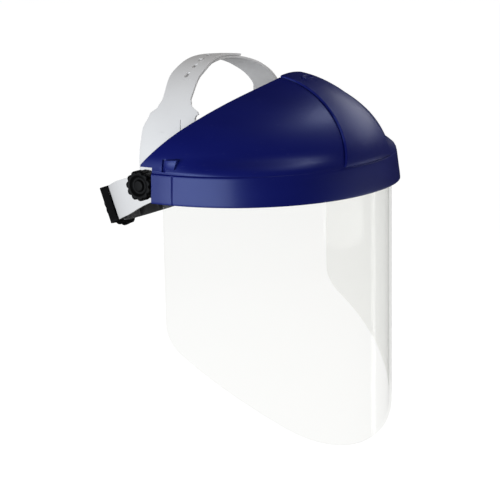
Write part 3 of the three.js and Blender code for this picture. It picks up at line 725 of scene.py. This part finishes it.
def emblem():
    """A plain oval boss near the top of the front panel."""
    z, radius, squash = 73.0, 7.0, 0.5
    centre = np.array((0.0, ridge_point(z)[1], z))
    lean = math.atan2(ridge_point(z + 1)[1] - ridge_point(z - 1)[1], 2.0)
    rings = [(1.0, -1.0), (1.0, 0.35), (0.94, 0.6), (0.82, 0.6), (0.76, 0.4), (0.0, 0.4)]
    boss = spin("emblem", [(radius * r, h) for r, h in rings], NAVY, axis="y", steps=64)
    turn = Matrix.Rotation(-lean, 4, "X") @ Matrix.Rotation(math.pi, 4, "Z")
    boss.data.transform(turn @ Matrix.Diagonal((1.0, 1.0, squash, 1.0)))
    raised = np.array((0, -math.cos(lean), math.sin(lean))) * (PANEL_RAISE + PANEL_SAG[1] + 0.25)
    boss.data.transform(Matrix.Translation(Vector((centre + raised) * MM)))
    smooth_shade(boss)
    return boss


def inward_stud(name, degrees, profile):
    """A turned body that points straight in from the brim's front."""
    angle = math.radians(degrees)
    p = plan_point(angle, BRIM["half_width"] - 1.2, BRIM["depth"] - 1.2, 0)
    q = plan_point(angle + 0.01, BRIM["half_width"] - 1.2, BRIM["depth"] - 1.2, 0)
    inward = np.array((-(q - p)[1], (q - p)[0], 0.0))
    inward *= -math.copysign(1, inward @ p) / np.linalg.norm(inward)
    stud = spin(name, profile, NAVY, steps=32)
    turn = Vector((1, 0, 0)).rotation_difference(Vector(inward)).to_matrix().to_4x4()
    stud.data.transform(Matrix.Translation(Vector(p * MM)) @ turn)
    smooth_shade(stud)
    return stud


def brim_wall_x(y):
    depth = BRIM["depth"] - DOME_WALL
    return (BRIM["half_width"] - DOME_WALL) * (1 - ((PLAN_BACK_Y - y) / depth) ** PLAN_POWER) ** (1 / PLAN_POWER)


def bracket_boss(side, y):
    out, end = brim_wall_x(y) + 1.0, BRACKET_X[1] + GAP
    boss = spin("bracket_boss", [(0, side * out), (3.5, side * out), (3.5, side * (end + 0.3)), (3.2, side * end),
                                 (0, side * end)], NAVY, centre=(0, y, 0), steps=32)
    smooth_shade(boss)
    return boss


# ---- window ----
def window_plan():
    angles = np.linspace(0, math.pi / 2, 1201)
    points = np.array([plan_point(a, WINDOW["half_width"], WINDOW["depth"], 0) for a in angles])
    lengths = np.concatenate([[0], np.cumsum(np.linalg.norm(np.diff(points, axis=0), axis=1))])
    return angles, lengths


def window_bottom(s, half):
    radius, slope = WINDOW_ARC["radius"], WINDOW_ARC["slope"]
    a, tangent = abs(s), radius * math.sin(slope)
    if a < tangent:
        edge = WINDOW["bottom"] + radius - math.sqrt(radius**2 - a**2)
    else:
        edge = WINDOW["bottom"] + radius * (1 - math.cos(slope)) + (a - tangent) * math.tan(slope)
    into = max(a - (half - WINDOW["corner"]), 0.0)
    return edge + WINDOW["corner"] - math.sqrt(max(WINDOW["corner"] ** 2 - into**2, 0.0))


def window_pane():
    angles, lengths = window_plan()
    half = float(lengths[-1])
    corner = half - WINDOW["corner"]
    ends = [corner + WINDOW["corner"] * math.sin(t) for t in np.linspace(0, math.pi / 2, 14)[1:]]
    across = sorted([-s for s in ends] + list(np.linspace(-corner, corner, 150)) + ends)
    down = [0, 0.004, 0.03] + list(np.linspace(0.08, 0.97, 16)) + [0.992, 1.0]

    def face(offset):
        grid = []
        for s in across:
            angle = math.copysign(float(np.interp(abs(s), lengths, angles)), s)
            low = window_bottom(s, half)
            grid.append([plan_point(angle, WINDOW["half_width"] + offset, WINDOW["depth"] + offset,
                                    WINDOW["top"] + t * (low - WINDOW["top"])) for t in down])
        return grid

    pane = slab("window_pane", face(WINDOW["thick"] / 2), face(-WINDOW["thick"] / 2), CLEAR)
    bore = ((0, -4), (STUD_HOLE, -4), (STUD_HOLE, 14), (0, 14))
    holes = [inward_stud("stud_hole", angle, bore) for angle in STUD_ANGLES]
    holes += [rod("stud_hole", STUD_HOLE, side * 105, side * 130, NAVY, centre=(0, y, 0))
              for side in SIDES.values() for y in STUD_YS]
    carve(pane, *holes)
    soften(pane, 0.35, 2, 50)
    return finish_piece(pane, "visor", "window")


# ---- headband ----
def loop_point(degrees, off, height):
    """A point round the head loop, in the band's own frame; 0 degrees is the middle of the brow."""
    a = math.radians(degrees)
    half_width, depth = BAND["half_width"] + off, BAND["depth"] + off
    return np.array((half_width * math.sin(a), BAND["centre_y"] - depth * math.cos(a), height))


def nape_point(degrees, radius, height):
    a = math.radians(degrees)
    return np.array((radius * math.sin(a), NAPE["centre_y"] + radius * math.cos(a), height))


def strip(name, material, point, angles, rows, half_at, outer, inner):
    """A curved strip of point(angle, offset, height), from -half_at(angle) to half_at(angle) in height."""
    def face(offset):
        return [[point(a, offset, t * half_at(a)) for t in np.linspace(-1, 1, rows)] for a in angles]
    return slab(name, face(outer), face(inner), material)


def band_half(degrees):
    return BAND_HALF["brow"] + (BAND_HALF["side"] - BAND_HALF["brow"]) * smoothstep((abs(degrees) - 45) / 35)


def rear_half(degrees):
    return BAND_HALF["side"] + (BAND_HALF["rear"] - BAND_HALF["side"]) * smoothstep((abs(degrees) - 104) / 22)


def rod(name, radius, start, end, material=STEEL, axis="x", centre=(0, 0, 0), steps=32):
    return spin(name, [(0, start), (radius, start), (radius, end), (0, end)], material, axis, centre, steps=steps)


RIVETS = {"front": {"y": -14.0, "z": 5.4, "head": 78.9}, "rear": {"y": 30.5, "z": -12.5, "head": 79.2}}
RIVET_HOLE = 1.7
BOLT_HOLE = 3.3
BAND_ROWS = 9
REAR_STRAP = {"end": 142.5, "bends": (112, 141)}  # degrees round the loop


def side_hole(side, radius, y=0.0, z=0.0):
    return rod("hole", radius, side * 66, side * 92, centre=(0, y, z))


def side_holes(side, *rivets):
    return [side_hole(side, RIVET_HOLE, RIVETS[k]["y"], RIVETS[k]["z"]) for k in rivets]


def brow_band():
    angles = np.linspace(-BROW_END, BROW_END, 121)
    band = tilt(strip("brow_band", GREY, loop_point, angles, BAND_ROWS, band_half, 0.0, -BAND["thick"]))
    tools = []
    for side in SIDES.values():
        tools += [side_hole(side, BOLT_HOLE), *side_holes(side, "front")]
    carve(band, *tools)
    soften(band, 0.45, 3, 50)
    return finish_piece(band, "headband", "brow_band")


def rear_strap(name, side):
    """Bends round the loop from the band's end to the nape unit."""
    angles = np.linspace(BROW_END + 0.4, REAR_STRAP["end"], 40) * side
    strap = tilt(strip("rear_strap_" + name, GREY, loop_point, angles, BAND_ROWS, rear_half, 0.0, -BAND["thick"]))
    carve(strap, *side_holes(side, "rear"))
    soften(strap, 0.45, 3, 50)
    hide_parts("rear_strap_" + name)
    turn = Matrix.Rotation(BAND_TILT, 3, "X")
    start, end = (turn @ Vector(loop_point(side * a, 0, 0) * MM) for a in REAR_STRAP["bends"])
    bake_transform(strap)
    return strap


# edges of the side plate and strap: (degrees up the arch, y)
PLATE_FRONT = ((-25, -19), (0, -20), (20, -20), (28, -18), (34, -9), (38, -7), (60, -4), (90, 3))
PLATE_REAR = ((-25, 33), (0, 36), (16, 34), (26, 29), (31, 22), (36, 20), (60, 25.5), (90, 28))
PLATE_SLIT = ((-5.6, 36.5), (-4.7, 36.5), (-2.9, 45.5), (-3.5, 45.5))
PLATE_NOTCH = ((-24, 44.5), (-16.4, 45.5), (-16.0, 47.5), (-16.8, 49.5), (-24, 50.0))
HOLE_DEGREES = (56, 65.5, 75, 84.5, 94)
PEG_DEGREES = (75, 84.5)
HOLE_SHARE = 0.42  # of the strap's width, from its front edge
SLOT_HOLE = {"half": 1.6, "r": 1.7}
PEG_PROFILE = ((0, -0.6), (1.3, -0.6), (1.3, 2.2), (1.75, 2.5), (1.75, 2.9), (1.3, 3.1), (0, 3.1))


def between(table, degrees):
    """The table's value, eased from row to row, and the same on both sides of the crown."""
    degrees = min(degrees, 180 - degrees)
    for (d0, v0), (d1, v1) in zip(table, table[1:]):
        if degrees <= d1:
            return v0 + (v1 - v0) * smoothstep((degrees - d0) / (d1 - d0))
    return table[-1][1]


def arch_point(side, degrees, y, off):
    """A point of the arch over the head, 0 degrees at its foot and 90 at the crown."""
    a = math.radians(degrees)
    sag = STRAP["half"] * (1 - math.sqrt(1 - ((y - BAND["centre_y"]) / STRAP["fore_aft"]) ** 2))
    droop = STRAP["droop"] * (max(y, 0) / STRAP["droop_y"]) ** 2
    cos, sin = (math.copysign(abs(v) ** STRAP["bulge"], v) for v in (math.cos(a), math.sin(a)))
    x = (STRAP["half"] - sag * max(math.cos(a), 0) + off) * cos
    return np.array((side * x, y, STRAP["base"] + (STRAP["top"] - STRAP["base"] - droop + off) * sin))


def strap_edge(degrees, t):
    """The y of a point at share t from the front edge of the side plate or strap to its rear edge."""
    return between(PLATE_FRONT, degrees) * (1 - t) + between(PLATE_REAR, degrees) * t


def crown_strap(name, side, top, tucked):
    """A side plate that runs up into half of the strap; the tucked half passes under the other with its pegs up."""
    across = np.linspace(0, 1, 13)
    low = [("low", t) for t in np.linspace(1, 0, 9)[:-1]]
    high = [("high", d) for d in np.concatenate([np.linspace(0, 40, 34), np.linspace(40, top, 52)[1:]])]
    end_round = 5.0  # degrees of the free end that are rounded

    def row_points(kind, value, off):
        degrees = value if kind == "high" else 0.0
        under = smoothstep((degrees - 45) / 25) * (STRAP["thick"] + GAP) if tucked else 0.0
        row = []
        for t in across:
            here = degrees
            if kind == "high" and value > top - end_round:
                reach = (value - (top - end_round)) / end_round
                here = top - end_round + reach * end_round * math.sqrt(max(1 - ((t - 0.5) * 1.7) ** 2, 0))
            share = 0.5 + (t - 0.5) * (1 - 0.14 * smoothstep((here - 96) / 10) if tucked else 1)
            y = strap_edge(here, share)
            p = arch_point(side, here, y, off - under)
            if kind == "low":
                hem = -y * math.tan(-BAND_TILT) - STRAP["hem"]  # follows the sloping band
                p[2] = STRAP["base"] + (hem - STRAP["base"]) * value
            row.append(p)
        return row

    outer = [row_points(*r, GAP + STRAP["thick"]) for r in low + high]
    inner = [row_points(*r, GAP) for r in low + high]
    strap = slab("crown_strap_" + name, outer, inner, GREY)
    tools = [side_hole(side, BOLT_HOLE), *side_holes(side, *RIVETS)]
    reach = sorted((side * 55, side * 90))
    tools += [prism("plate_cut", outline, *reach, "x", GREY) for outline in (PLATE_SLIT, PLATE_NOTCH)]
    if not tucked:
        tools += [strap_tool(side, d, slot_cutter()) for d in HOLE_DEGREES]
    carve(strap, *tools)
    soften(strap, 0.5, 3, 50)
    if tucked:
        strap = join("crown_strap_" + name, [strap] + [strap_tool(-side, d, peg()) for d in PEG_DEGREES])
        smooth_shade(strap)
    return finish_piece(strap, "headband", "crown_strap_" + name)


def strap_tool(side, degrees, piece):
    """Moves a piece made round the origin, with Y as its way out, onto the strap's line of holes."""
    a = math.radians(degrees)
    p = arch_point(side, degrees, strap_edge(degrees, HOLE_SHARE), 0)
    out = Vector((side * math.cos(a) * (STRAP["top"] - STRAP["base"]), 0, math.sin(a) * STRAP["half"])).normalized()
    along = Vector((0, 1, 0)).cross(out).normalized()
    turn = Matrix((along, out, along.cross(out))).transposed().to_4x4()
    piece.data.transform(Matrix.Translation(Vector(p * MM)) @ turn)
    return piece


def slot_cutter():
    half, r = SLOT_HOLE["half"], SLOT_HOLE["r"]
    outline = [(math.copysign(half, u) + u, v) for u, v in arc(r, range(0, 360, 15))]
    return prism("slot", outline, -4, 4, "y", GREY)


def peg():
    return spin("peg", PEG_PROFILE, GREY, axis="y", steps=24)


def prism(name, outline, low, high, axis, material):
    """An outline of (u, v) points pushed from low to high along one axis."""
    order = {"x": lambda u, v, w: (w, u, v), "y": lambda u, v, w: (u, w, v)}[axis]
    count = len(outline)
    points = [order(u, v, low) for u, v in outline] + [order(u, v, high) for u, v in outline]
    faces = [tuple(range(count)), tuple(range(2 * count - 1, count - 1, -1))]
    faces += [(i, (i + 1) % count, count + (i + 1) % count, count + i) for i in range(count)]
    mesh = mesh_of(name, points, faces)
    face_out(mesh)
    return make_object(name, mesh, material)


# ---- side pivots: profiles are (radius, distance from the middle of the head) ----
POST_PROFILE = ((BOLT_HOLE, 80.6), (8.4, 80.6), (8.4, 82.0), (7.0, 83.2), (7.0, 108.4), (7.9, 109.2), (7.9, 111.5),
                (BOLT_HOLE, 111.5), (BOLT_HOLE, 80.6))
WASHER_PROFILE = ((BOLT_HOLE, 111.8), (8.7, 111.8), (9.0, 112.1), (9.0, 113.0), (8.7, 113.3), (BOLT_HOLE, 113.3),
                  (BOLT_HOLE, 111.8))
SHANK_PROFILE = ((0, 72.5), (2.9, 72.5), (2.9, 123.0), (2.6, 123.4), (0, 123.4))
BOLT_HEAD = {"r": 6.5, "from": 71.5, "to": 73.5}
BRACKET = {"r": 11.0, "front": -44.5, "corner": 5.0, "corner_z": 2.0, "screw_hole": 1.8}


def pivot_turned(name, side, profile, material, steps=48):
    piece = spin(name, [(r, side * x) for r, x in profile], material, steps=steps)
    smooth_shade(piece)
    return piece


def arc(radius, degrees, centre=(0, 0)):
    angles = [math.radians(d) for d in degrees]
    return [(centre[0] + radius * math.cos(a), centre[1] + radius * math.sin(a)) for a in angles]


def pivot_parts(name, side):
    for node, profile in (("pivot_post_", POST_PROFILE), ("friction_washer_", WASHER_PROFILE)):
        finish_piece(pivot_turned(node + name, side, profile, BLACK), "headband", node + name)
    shank = pivot_turned("shank", side, SHANK_PROFILE, STEEL, 32)
    low, high = sorted((side * BOLT_HEAD["from"], side * BOLT_HEAD["to"]))
    head = prism("head", arc(BOLT_HEAD["r"], range(0, 360, 60)), low, high, "x", STEEL)
    soften(head, 0.35, 2)
    bolt = join("pivot_bolt_" + name, [head, shank])
    smooth_shade(bolt)
    finish_piece(bolt, "headband", "pivot_bolt_" + name)
    bracket(name, side)
    tension_knob(name, side)


def bracket(name, side):
    """A flat arm from the pivot forward to its two screws."""
    y, z = BRACKET["front"] + BRACKET["corner"], BRACKET["corner_z"]
    outline = arc(BRACKET["r"], range(-130, 131, 5)) + arc(BRACKET["corner"], range(90, 181, 10), (y, z))
    outline += arc(BRACKET["corner"], range(180, 271, 10), (y, -z))
    plate = prism("pivot_bracket_" + name, outline, *sorted(side * x for x in BRACKET_X), "x", BLACK)
    holes = [(BOLT_HOLE, 0)] + [(BRACKET["screw_hole"], y) for y in STUD_YS]
    carve(plate, *(rod("hole", r, side * 110, side * 120, centre=(0, y, 0)) for r, y in holes))
    soften(plate, 0.6, 3)
    finish_piece(plate, "visor", "pivot_bracket_" + name)


# (radius, height above the seat, share of the lobes' dip)
TENSION_KNOB = ((0, 6.8), (3.3, 6.8), (3.3, 0), (9.4, 0), (11.3, 0.1, 1), (11.9, 0.5, 1), (12.1, 1.2, 1),
                (12.1, 8.8, 1), (11.9, 9.7, 1), (11.2, 10.3, 1), (10.3, 10.4, 0.5), (8.6, 10.4), (8.1, 10.15),
                (7.7, 9.6), (6.8, 8.1), (6.3, 7.9), (4.9, 7.9), (4.6, 8.1), (4.4, 9.6), (4.1, 10.0), (3.6, 10.1),
                (0, 10.1))
RATCHET_KNOB = ((0, 5.0), (4.3, 5.0), (4.3, 1.6), (10.0, 1.6), (10.0, 0), (17.6, 0, 0.3), (18.9, 0.2, 1),
                (19.4, 0.8, 1), (19.5, 1.6, 1), (19.5, 4.9, 1), (19.2, 5.7, 1), (18.4, 6.2, 1), (17.0, 6.4, 0.3),
                (14.2, 6.4), (13.6, 6.1), (13.2, 5.7), (9.0, 5.5), (8.6, 5.8), (8.0, 6.2), (7.2, 6.3), (0, 6.4))


def scalloped_knob(name, profile, seat, lobes, dip, lobe_steps, axis="x", way=1):
    rings = [(r[0], way * (seat + r[1]), *r[2:]) for r in profile]
    knob = spin(name, rings, BLACK, axis=axis, lobes=lobes, depth=dip, steps=lobes * lobe_steps)
    smooth_shade(knob, 55)
    return knob


def tension_knob(name, side):
    knob = scalloped_knob("tension_knob_" + name, TENSION_KNOB, BRACKET_X[1] + GAP, 11, 1.7, 14, way=side)
    finish_piece(knob, "knob_" + name, "tension_knob_" + name)


# ---- nape unit ----
FINGER_GROOVES = (-44, -40.5, -37, 37, 40.5, 44)  # degrees round the nape, near both ends of the housing


def nape_strip(name, inner, outer, half, limit, rows=7):
    return strip(name, BLACK, nape_point, np.linspace(-limit, limit, 49), rows, lambda a: half, outer, inner)


def nape_unit():
    housing = nape_strip("nape_housing", NAPE["inner"], NAPE["outer"], NAPE["half"], NAPE["angle"], 11)
    channel = nape_strip("channel", NAPE["inner"] - 3, 62.7, 11.4, 60)
    outside, beyond = NAPE["centre_y"] + NAPE["outer"], NAPE["centre_y"] + 80
    shaft = rod("shaft_hole", 4.4, NAPE["centre_y"] + 50, beyond, axis="y")
    seat = rod("seat", 11.5, outside - 2.2, beyond, axis="y", steps=64)
    centre = Matrix.Translation((0, NAPE["centre_y"] * MM, 0))
    grooves = []
    for angle in FINGER_GROOVES:
        groove = nape_strip("groove", NAPE["outer"] - 0.7, NAPE["outer"] + 2, 11.0, 0.55, 5)
        groove.data.transform(centre @ Matrix.Rotation(math.radians(angle), 4, "Z") @ centre.inverted())
        grooves.append(groove)
    carve(housing, channel, shaft, seat, *grooves)
    soften(housing, 0.7, 3, 45)
    finish_piece(tilt(housing), "nape_unit", "nape_housing")
    inner = NAPE["inner"] - GAP
    cover = nape_strip("nape_cover", inner - NAPE["cover"], inner, NAPE["half"], NAPE["angle"], 11)
    soften(cover, 0.5, 2, 45)
    finish_piece(tilt(cover), "nape_unit", "nape_cover")
    knob = scalloped_knob("ratchet_knob", RATCHET_KNOB, outside + GAP, 15, 1.5, 12, "y")
    tilt(knob)
    finish_piece(knob, "ratchet", "ratchet_knob")


def dress_node(node, material):
    """Gives a small machined part its finish and eased edges."""
    piece = bpy.data.objects[node]
    piece.data.materials.clear()
    piece.data.materials.append(material)
    add_bevel(piece, 0.2, 2, 40)


# ---- pads: a fabric skin blown up over foam, held flat at its back and along its sewn channels ----
PAD_HALF = 16.5
BROW_ARC, NAPE_ARC = 1.6, 0.95  # millimetres round the head for each degree


def puffed_pad(name, kind):
    """kind holds point(angle, offset, height), the back's offset, the depth, and the sewn channels' angles."""
    point, angles, back, per_degree = (kind[key] for key in ("point", "angles", "back", "per_degree"))
    shares = np.linspace(-1, 1, 13)

    def share(angle, t):
        """How full the skin starts: thin at the rim and along each channel."""
        rim = min(1.0, (1 - abs(t)) / 0.28, (angles[-1] - abs(angle)) * per_degree / 5.0)
        sewn = min([abs(angle - c) * per_degree / 4.0 for c in kind["channels"]] + [1.0])
        return 0.32 + 0.5 * math.sqrt(max(min(rim, sewn), 0.0))

    outer = [[point(a, back, t * PAD_HALF) for t in shares] for a in angles]
    inner = [[point(a, back - kind["deep"] * share(a, t), t * PAD_HALF) for t in shares] for a in angles]
    pad = slab(name, outer, inner, FOAM)
    free = {tuple(np.round(p * MM, 6)) for a, column in zip(angles, inner) for p in column
            if min(abs(a - c) for c in kind["channels"]) >= 0.1}
    blow_up(pad, [i for i, v in enumerate(pad.data.vertices) if tuple(np.round(v.co, 6)) not in free])
    subdivide(pad)
    return pad


def blow_up(pad, held):
    """Runs the cloth for twenty frames under a small pressure and keeps the result, within a small reach."""
    pins = pad.vertex_groups.new(name="held")
    pins.add(held, 1.0, "REPLACE")
    cloth = pad.modifiers.new("cloth", "CLOTH")
    cloth.settings.effector_weights.gravity = 0.0
    for key, value in {"vertex_group_mass": "held", "use_pressure": True, "uniform_pressure_force": 4.0,
                       "tension_stiffness": 25.0, "compression_stiffness": 25.0, "bending_stiffness": 0.6,
                       "quality": 6}.items():
        setattr(cloth.settings, key, value)
    start = [v.co.copy() for v in pad.data.vertices]
    for step in range(1, 21):
        bpy.context.scene.frame_set(step)
        bpy.context.view_layer.update()
    apply_modifiers(pad)
    bpy.context.scene.frame_set(1)
    most = 1.6 * MM
    for vertex, was in zip(pad.data.vertices, start):
        move = vertex.co - was
        if move.length > most:
            vertex.co = was + move.normalized() * most


def subdivide(pad):
    finer = pad.modifiers.new("finer", "SUBSURF")
    finer.levels = finer.render_levels = 1
    apply_modifiers(pad)
    pad.data.shade_smooth()


def lay_cloth(pad, point_back):
    """A UV map in millimetres: round the head, and up."""
    layer = pad.data.uv_layers.new(name="cloth")
    for loop in pad.data.loops:
        layer.data[loop.index].uv = point_back(np.array(pad.data.vertices[loop.vertex_index].co) / MM)


def brow_uv(p):
    return (math.degrees(math.atan2(p[0], -(p[1] - BAND["centre_y"]))) * BROW_ARC, p[2])


def nape_uv(p):
    return (math.degrees(math.atan2(p[0], p[1] - NAPE["centre_y"])) * NAPE_ARC, p[2])


PADS = {
    "brow": {"body": "headband", "point": loop_point, "uv": brow_uv, "angles": np.linspace(-72, 72, 97),
             "back": -BAND["thick"] - GAP, "deep": 5.5, "channels": (-48.0, -24.0, 0.0, 24.0, 48.0),
             "per_degree": BROW_ARC},
    "nape": {"body": "nape_unit", "point": nape_point, "uv": nape_uv, "angles": np.linspace(-50, 50, 65),
             "back": NAPE["inner"] - 2 * GAP - NAPE["cover"], "deep": 7.0, "channels": (-24.0, 0.0, 24.0),
             "per_degree": NAPE_ARC},
}


def pads():
    for label, kind in PADS.items():
        pad = puffed_pad(label + "_pad", kind)
        lay_cloth(pad, kind["uv"])
        finish_piece(tilt(pad), kind["body"], label + "_pad")


# ---- what repeats: one node group scatters a piece over marked points ----
SCATTER_NODES = {
    "given": "NodeGroupInput", "info": "GeometryNodeObjectInfo", "way": "GeometryNodeInputNamedAttribute",
    "along": "GeometryNodeInputNamedAttribute", "axes": "FunctionNodeAxesToRotation",
    "place": "GeometryNodeInstanceOnPoints", "real": "GeometryNodeRealizeInstances",
    "finish": "GeometryNodeSetMaterial", "out": "NodeGroupOutput",
}
SCATTER_LINKS = (
    ("given", "Places", "place", "Points"), ("given", "Piece", "info", "Object"), ("given", "Size", "place", "Scale"),
    ("info", "Geometry", "place", "Instance"), ("way", "Attribute", "axes", "Primary Axis"),
    ("along", "Attribute", "axes", "Secondary Axis"), ("axes", "Rotation", "place", "Rotation"),
    ("place", "Instances", "real", "Geometry"), ("real", "Geometry", "finish", "Geometry"),
    ("given", "Finish", "finish", "Material"), ("finish", "Geometry", "out", "Geometry"),
)


def scatter_group():
    group = bpy.data.node_groups.new("scatter", "GeometryNodeTree")
    for label, kind in (("Places", "Geometry"), ("Piece", "Object"), ("Size", "Float"), ("Finish", "Material")):
        group.interface.new_socket(label, in_out="INPUT", socket_type="NodeSocket" + kind)
    group.interface.new_socket("Geometry", in_out="OUTPUT", socket_type="NodeSocketGeometry")
    nodes = {key: group.nodes.new(kind) for key, kind in SCATTER_NODES.items()}
    for key in ("way", "along"):
        nodes[key].data_type = "FLOAT_VECTOR"
        nodes[key].inputs["Name"].default_value = key
    nodes["axes"].primary_axis, nodes["axes"].secondary_axis = "Z", "X"
    for source, output, target, given in SCATTER_LINKS:
        group.links.new(nodes[source].outputs[output], nodes[target].inputs[given])
    return group


SCATTER = scatter_group()


def scatter(name, piece, places, material, body, *nodes):
    """places are (point, way the piece's Z points, way its X points), in millimetres."""
    mesh = mesh_of(name, [p for p, _, _ in places], [])
    for label, index in (("way", 1), ("along", 2)):
        attribute = mesh.attributes.new(label, "FLOAT_VECTOR", "POINT")
        attribute.data.foreach_set("vector", np.array([place[index] for place in places], float).ravel())
    made = make_object(name, mesh, material)
    modifier = made.modifiers.new("scatter", "NODES")
    modifier.node_group = SCATTER
    values = {"Piece": piece, "Size": 1.0, "Finish": material}
    for item in SCATTER.interface.items_tree:
        if item.in_out == "INPUT" and item.name in values:
            modifier[item.identifier] = values[item.name]
    apply_modifiers(made)
    smooth_shade(made)
    if made.data.materials[:] != [material]:
        made.data.materials.clear()
        made.data.materials.append(material)
    discard(piece)
    return finish_piece(made, body, *nodes)


def z_spin(name, profile, material, steps=32):
    """A turned body round Z: profile is (radius, height) from axis to axis."""
    piece = spin(name, profile, material, steps=steps)
    piece.data.transform(Matrix.Rotation(math.radians(-90), 4, "Y"))
    return piece


def rivets():
    profile = ((0, 1.15), (0.8, 1.1), (2.0, 0.85), (2.9, 0.35), (3.2, 0), (1.4, 0), (1.4, -5.6), (3.2, -5.6),
               (3.2, -6.2), (2.6, -6.7), (0, -6.8))
    shape = z_spin("rivet", profile, STEEL)
    places = [((side * at["head"], at["y"], at["z"]), (side, 0, 0), (0, 1, 0))
              for side in SIDES.values() for at in RIVETS.values()]
    nodes = [f"strap_rivet_{spot}_{name}" for spot in RIVETS for name in SIDES]
    scatter("strap_rivets", shape, places, STEEL, "headband", *nodes)


def cross_head(r, tall, shank_r, shank):
    """A domed screw head with a cross recess, its face up."""
    profile = [(0, tall), (r * 0.5, tall * 0.94), (r * 0.85, tall * 0.6), (r, tall * 0.2), (r, 0), (shank_r, 0),
               (shank_r, -shank), (0, -shank)]
    head = z_spin("screw", profile, STEEL, 40)
    for x, y in ((0.55, 0.1), (0.1, 0.55)):
        carve(head, block("cross", (-r * x, -r * y, tall * 0.35), (r * x, r * y, tall * 2)))
    return head


def bracket_screws():
    places = [((side * (BRACKET_X[0] - GAP), y, 0), (-side, 0, 0), (0, 0.8, 0.6))
              for side in SIDES.values() for y in STUD_YS]
    nodes = [f"bracket_screw_{spot}_{name}" for spot in ("rear", "front") for name in SIDES]
    scatter("bracket_screws", cross_head(3.2, 1.7, 1.4, 5.0), places, STEEL, "visor", *nodes)


def tilted(vector):
    return np.array(Matrix.Rotation(BAND_TILT, 3, "X") @ Vector(vector))


def nape_screws():
    inside = PADS["nape"]["back"]
    places = []
    for side in SIDES.values():
        p, q = (nape_point(side * 36, radius, 13.2) for radius in (inside, inside - 1))
        places.append((tilted(p), tilted(q - p), tilted((0, 0, 1))))
    nodes = ("nape_screw_right", "nape_screw_left")
    scatter("nape_screws", cross_head(2.6, 1.2, 1.25, 6.0), places, STEEL, "nape_unit", *nodes)


STITCH_PROFILE = ((0, -1.1), (0.25, -1.05), (0.4, -0.8), (0.42, 0), (0.4, 0.8), (0.25, 1.05), (0, 1.1))
STITCH = {"pitch": 3.2, "half": 12.8, "sunk": 0.36}


def stitches():
    """Short thread stitches down each sewn channel of the pads."""
    for label, kind in PADS.items():
        offset = kind["back"] - kind["deep"] * STITCH["sunk"]
        places = []
        for angle in kind["channels"]:
            for z in np.arange(-STITCH["half"], STITCH["half"] + 0.01, STITCH["pitch"]):
                p, q = (kind["point"](angle, off, z) for off in (offset, offset * 1.01 - 1))
                places.append((tilted(p), tilted((0, 0, 1)), tilted(q - p)))
        stitch = z_spin("stitch", STITCH_PROFILE, THREAD, 10)
        scatter(label + "_stitches", stitch, places, THREAD, kind["body"])


crown_shell()
window_pane()
brow_band()
for label, way in SIDES.items():
    rear_strap(label, way)
    pivot_parts(label, way)
crown_strap("right", SIDES["right"], 104, False)
crown_strap("left", SIDES["left"], 128, True)
nape_unit()
pads()
rivets()
bracket_screws()
nape_screws()
stitches()
for node, material in (("rack_right", GREY), ("rack_left", GREY), ("ratchet_pinion", BLACK), ("detent_ring", STEEL)):
    dress_node(node, material)


# ---- stage ----
def make_stage():
    mesh = bpy.data.meshes.new("floor")
    mesh.from_pydata([(x, y, -0.45) for x, y in ((-60, -60), (60, -60), (60, 60), (-60, 60))], [], [(0, 1, 2, 3)])
    floor = bpy.data.objects.new("floor", mesh)
    bpy.context.collection.objects.link(floor)
    f = Finish("pale_floor")
    grain = f.noise(f.place(), 3, 2)
    floor.data.materials.append(f.done(f.plastic({
        "Base Color": f.mix(grain, (0.26, 0.26, 0.26, 1), (0.3, 0.3, 0.3, 1)), "Roughness": 0.9,
        "Specular IOR Level": 0.1, "Emission Color": (1, 1, 1, 1), "Emission Strength": 0.92})))
    floor.visible_glossy = False
    floor.visible_diffuse = False


def add_light(name, place, target, size, power, colour=(1, 1, 1)):
    data = bpy.data.lights.new(name, "AREA")
    data.shape = "RECTANGLE"
    data.size, data.size_y = size
    data.energy = power
    data.color = colour
    lamp = bpy.data.objects.new(name, data)
    lamp.location = place
    lamp.rotation_euler = (Vector(target) - Vector(place)).to_track_quat("-Z", "Y").to_euler()
    lamp.visible_camera = False
    bpy.context.collection.objects.link(lamp)


WORLD = {"fill": 0.33, "reflected": 0.015, "seen": 1.0}  # brightness for each kind of ray


def make_world():
    """White behind the object and as soft fill, but dark in its reflections, like a draped studio."""
    world = bpy.data.worlds.new("studio")
    bpy.context.scene.world = world
    world.use_nodes = True
    tree = world.node_tree
    tree.nodes.clear()
    path = tree.nodes.new("ShaderNodeLightPath")
    out = tree.nodes.new("ShaderNodeOutputWorld")
    shades = []
    for strength in (WORLD["fill"], WORLD["reflected"], WORLD["seen"]):
        shade = tree.nodes.new("ShaderNodeBackground")
        shade.inputs["Color"].default_value = (1, 1, 1, 1)
        shade.inputs["Strength"].default_value = strength
        shades.append(shade.outputs[0])
    for ray, shade in (("Is Glossy Ray", shades[1]), ("Is Camera Ray", shades[2])):
        mix = tree.nodes.new("ShaderNodeMixShader")
        tree.links.new(path.outputs[ray], mix.inputs[0])
        tree.links.new(shades[0], mix.inputs[1])
        tree.links.new(shade, mix.inputs[2])
        shades[0] = mix.outputs[0]
    tree.links.new(shades[0], out.inputs[0])


make_stage()
make_world()
add_light("side_low", (-1.35, 0.12, -0.1), (-0.1, 0, 0), (1.5, 0.26), 16.5, (0.9, 0.95, 1.0))
add_light("wearer_left", (1.3, -0.45, 0.75), (0, 0, 0.05), (1.1, 0.7), 6.2)
add_light("left_strip", (1.08, -0.6, -0.52), (0, -0.13, -0.1), (0.07, 0.6), 1.1)
add_light("above_brow", (0.42, -0.5, 1.1), (0, -0.1, 0.05), (0.3, 0.3), 3.0)
add_light("front_soft", (0.62, -1.05, -0.25), (0.0, -0.1, -0.06), (0.85, 0.1), 1.6)
bpy.context.scene.view_settings.view_transform = "Standard"
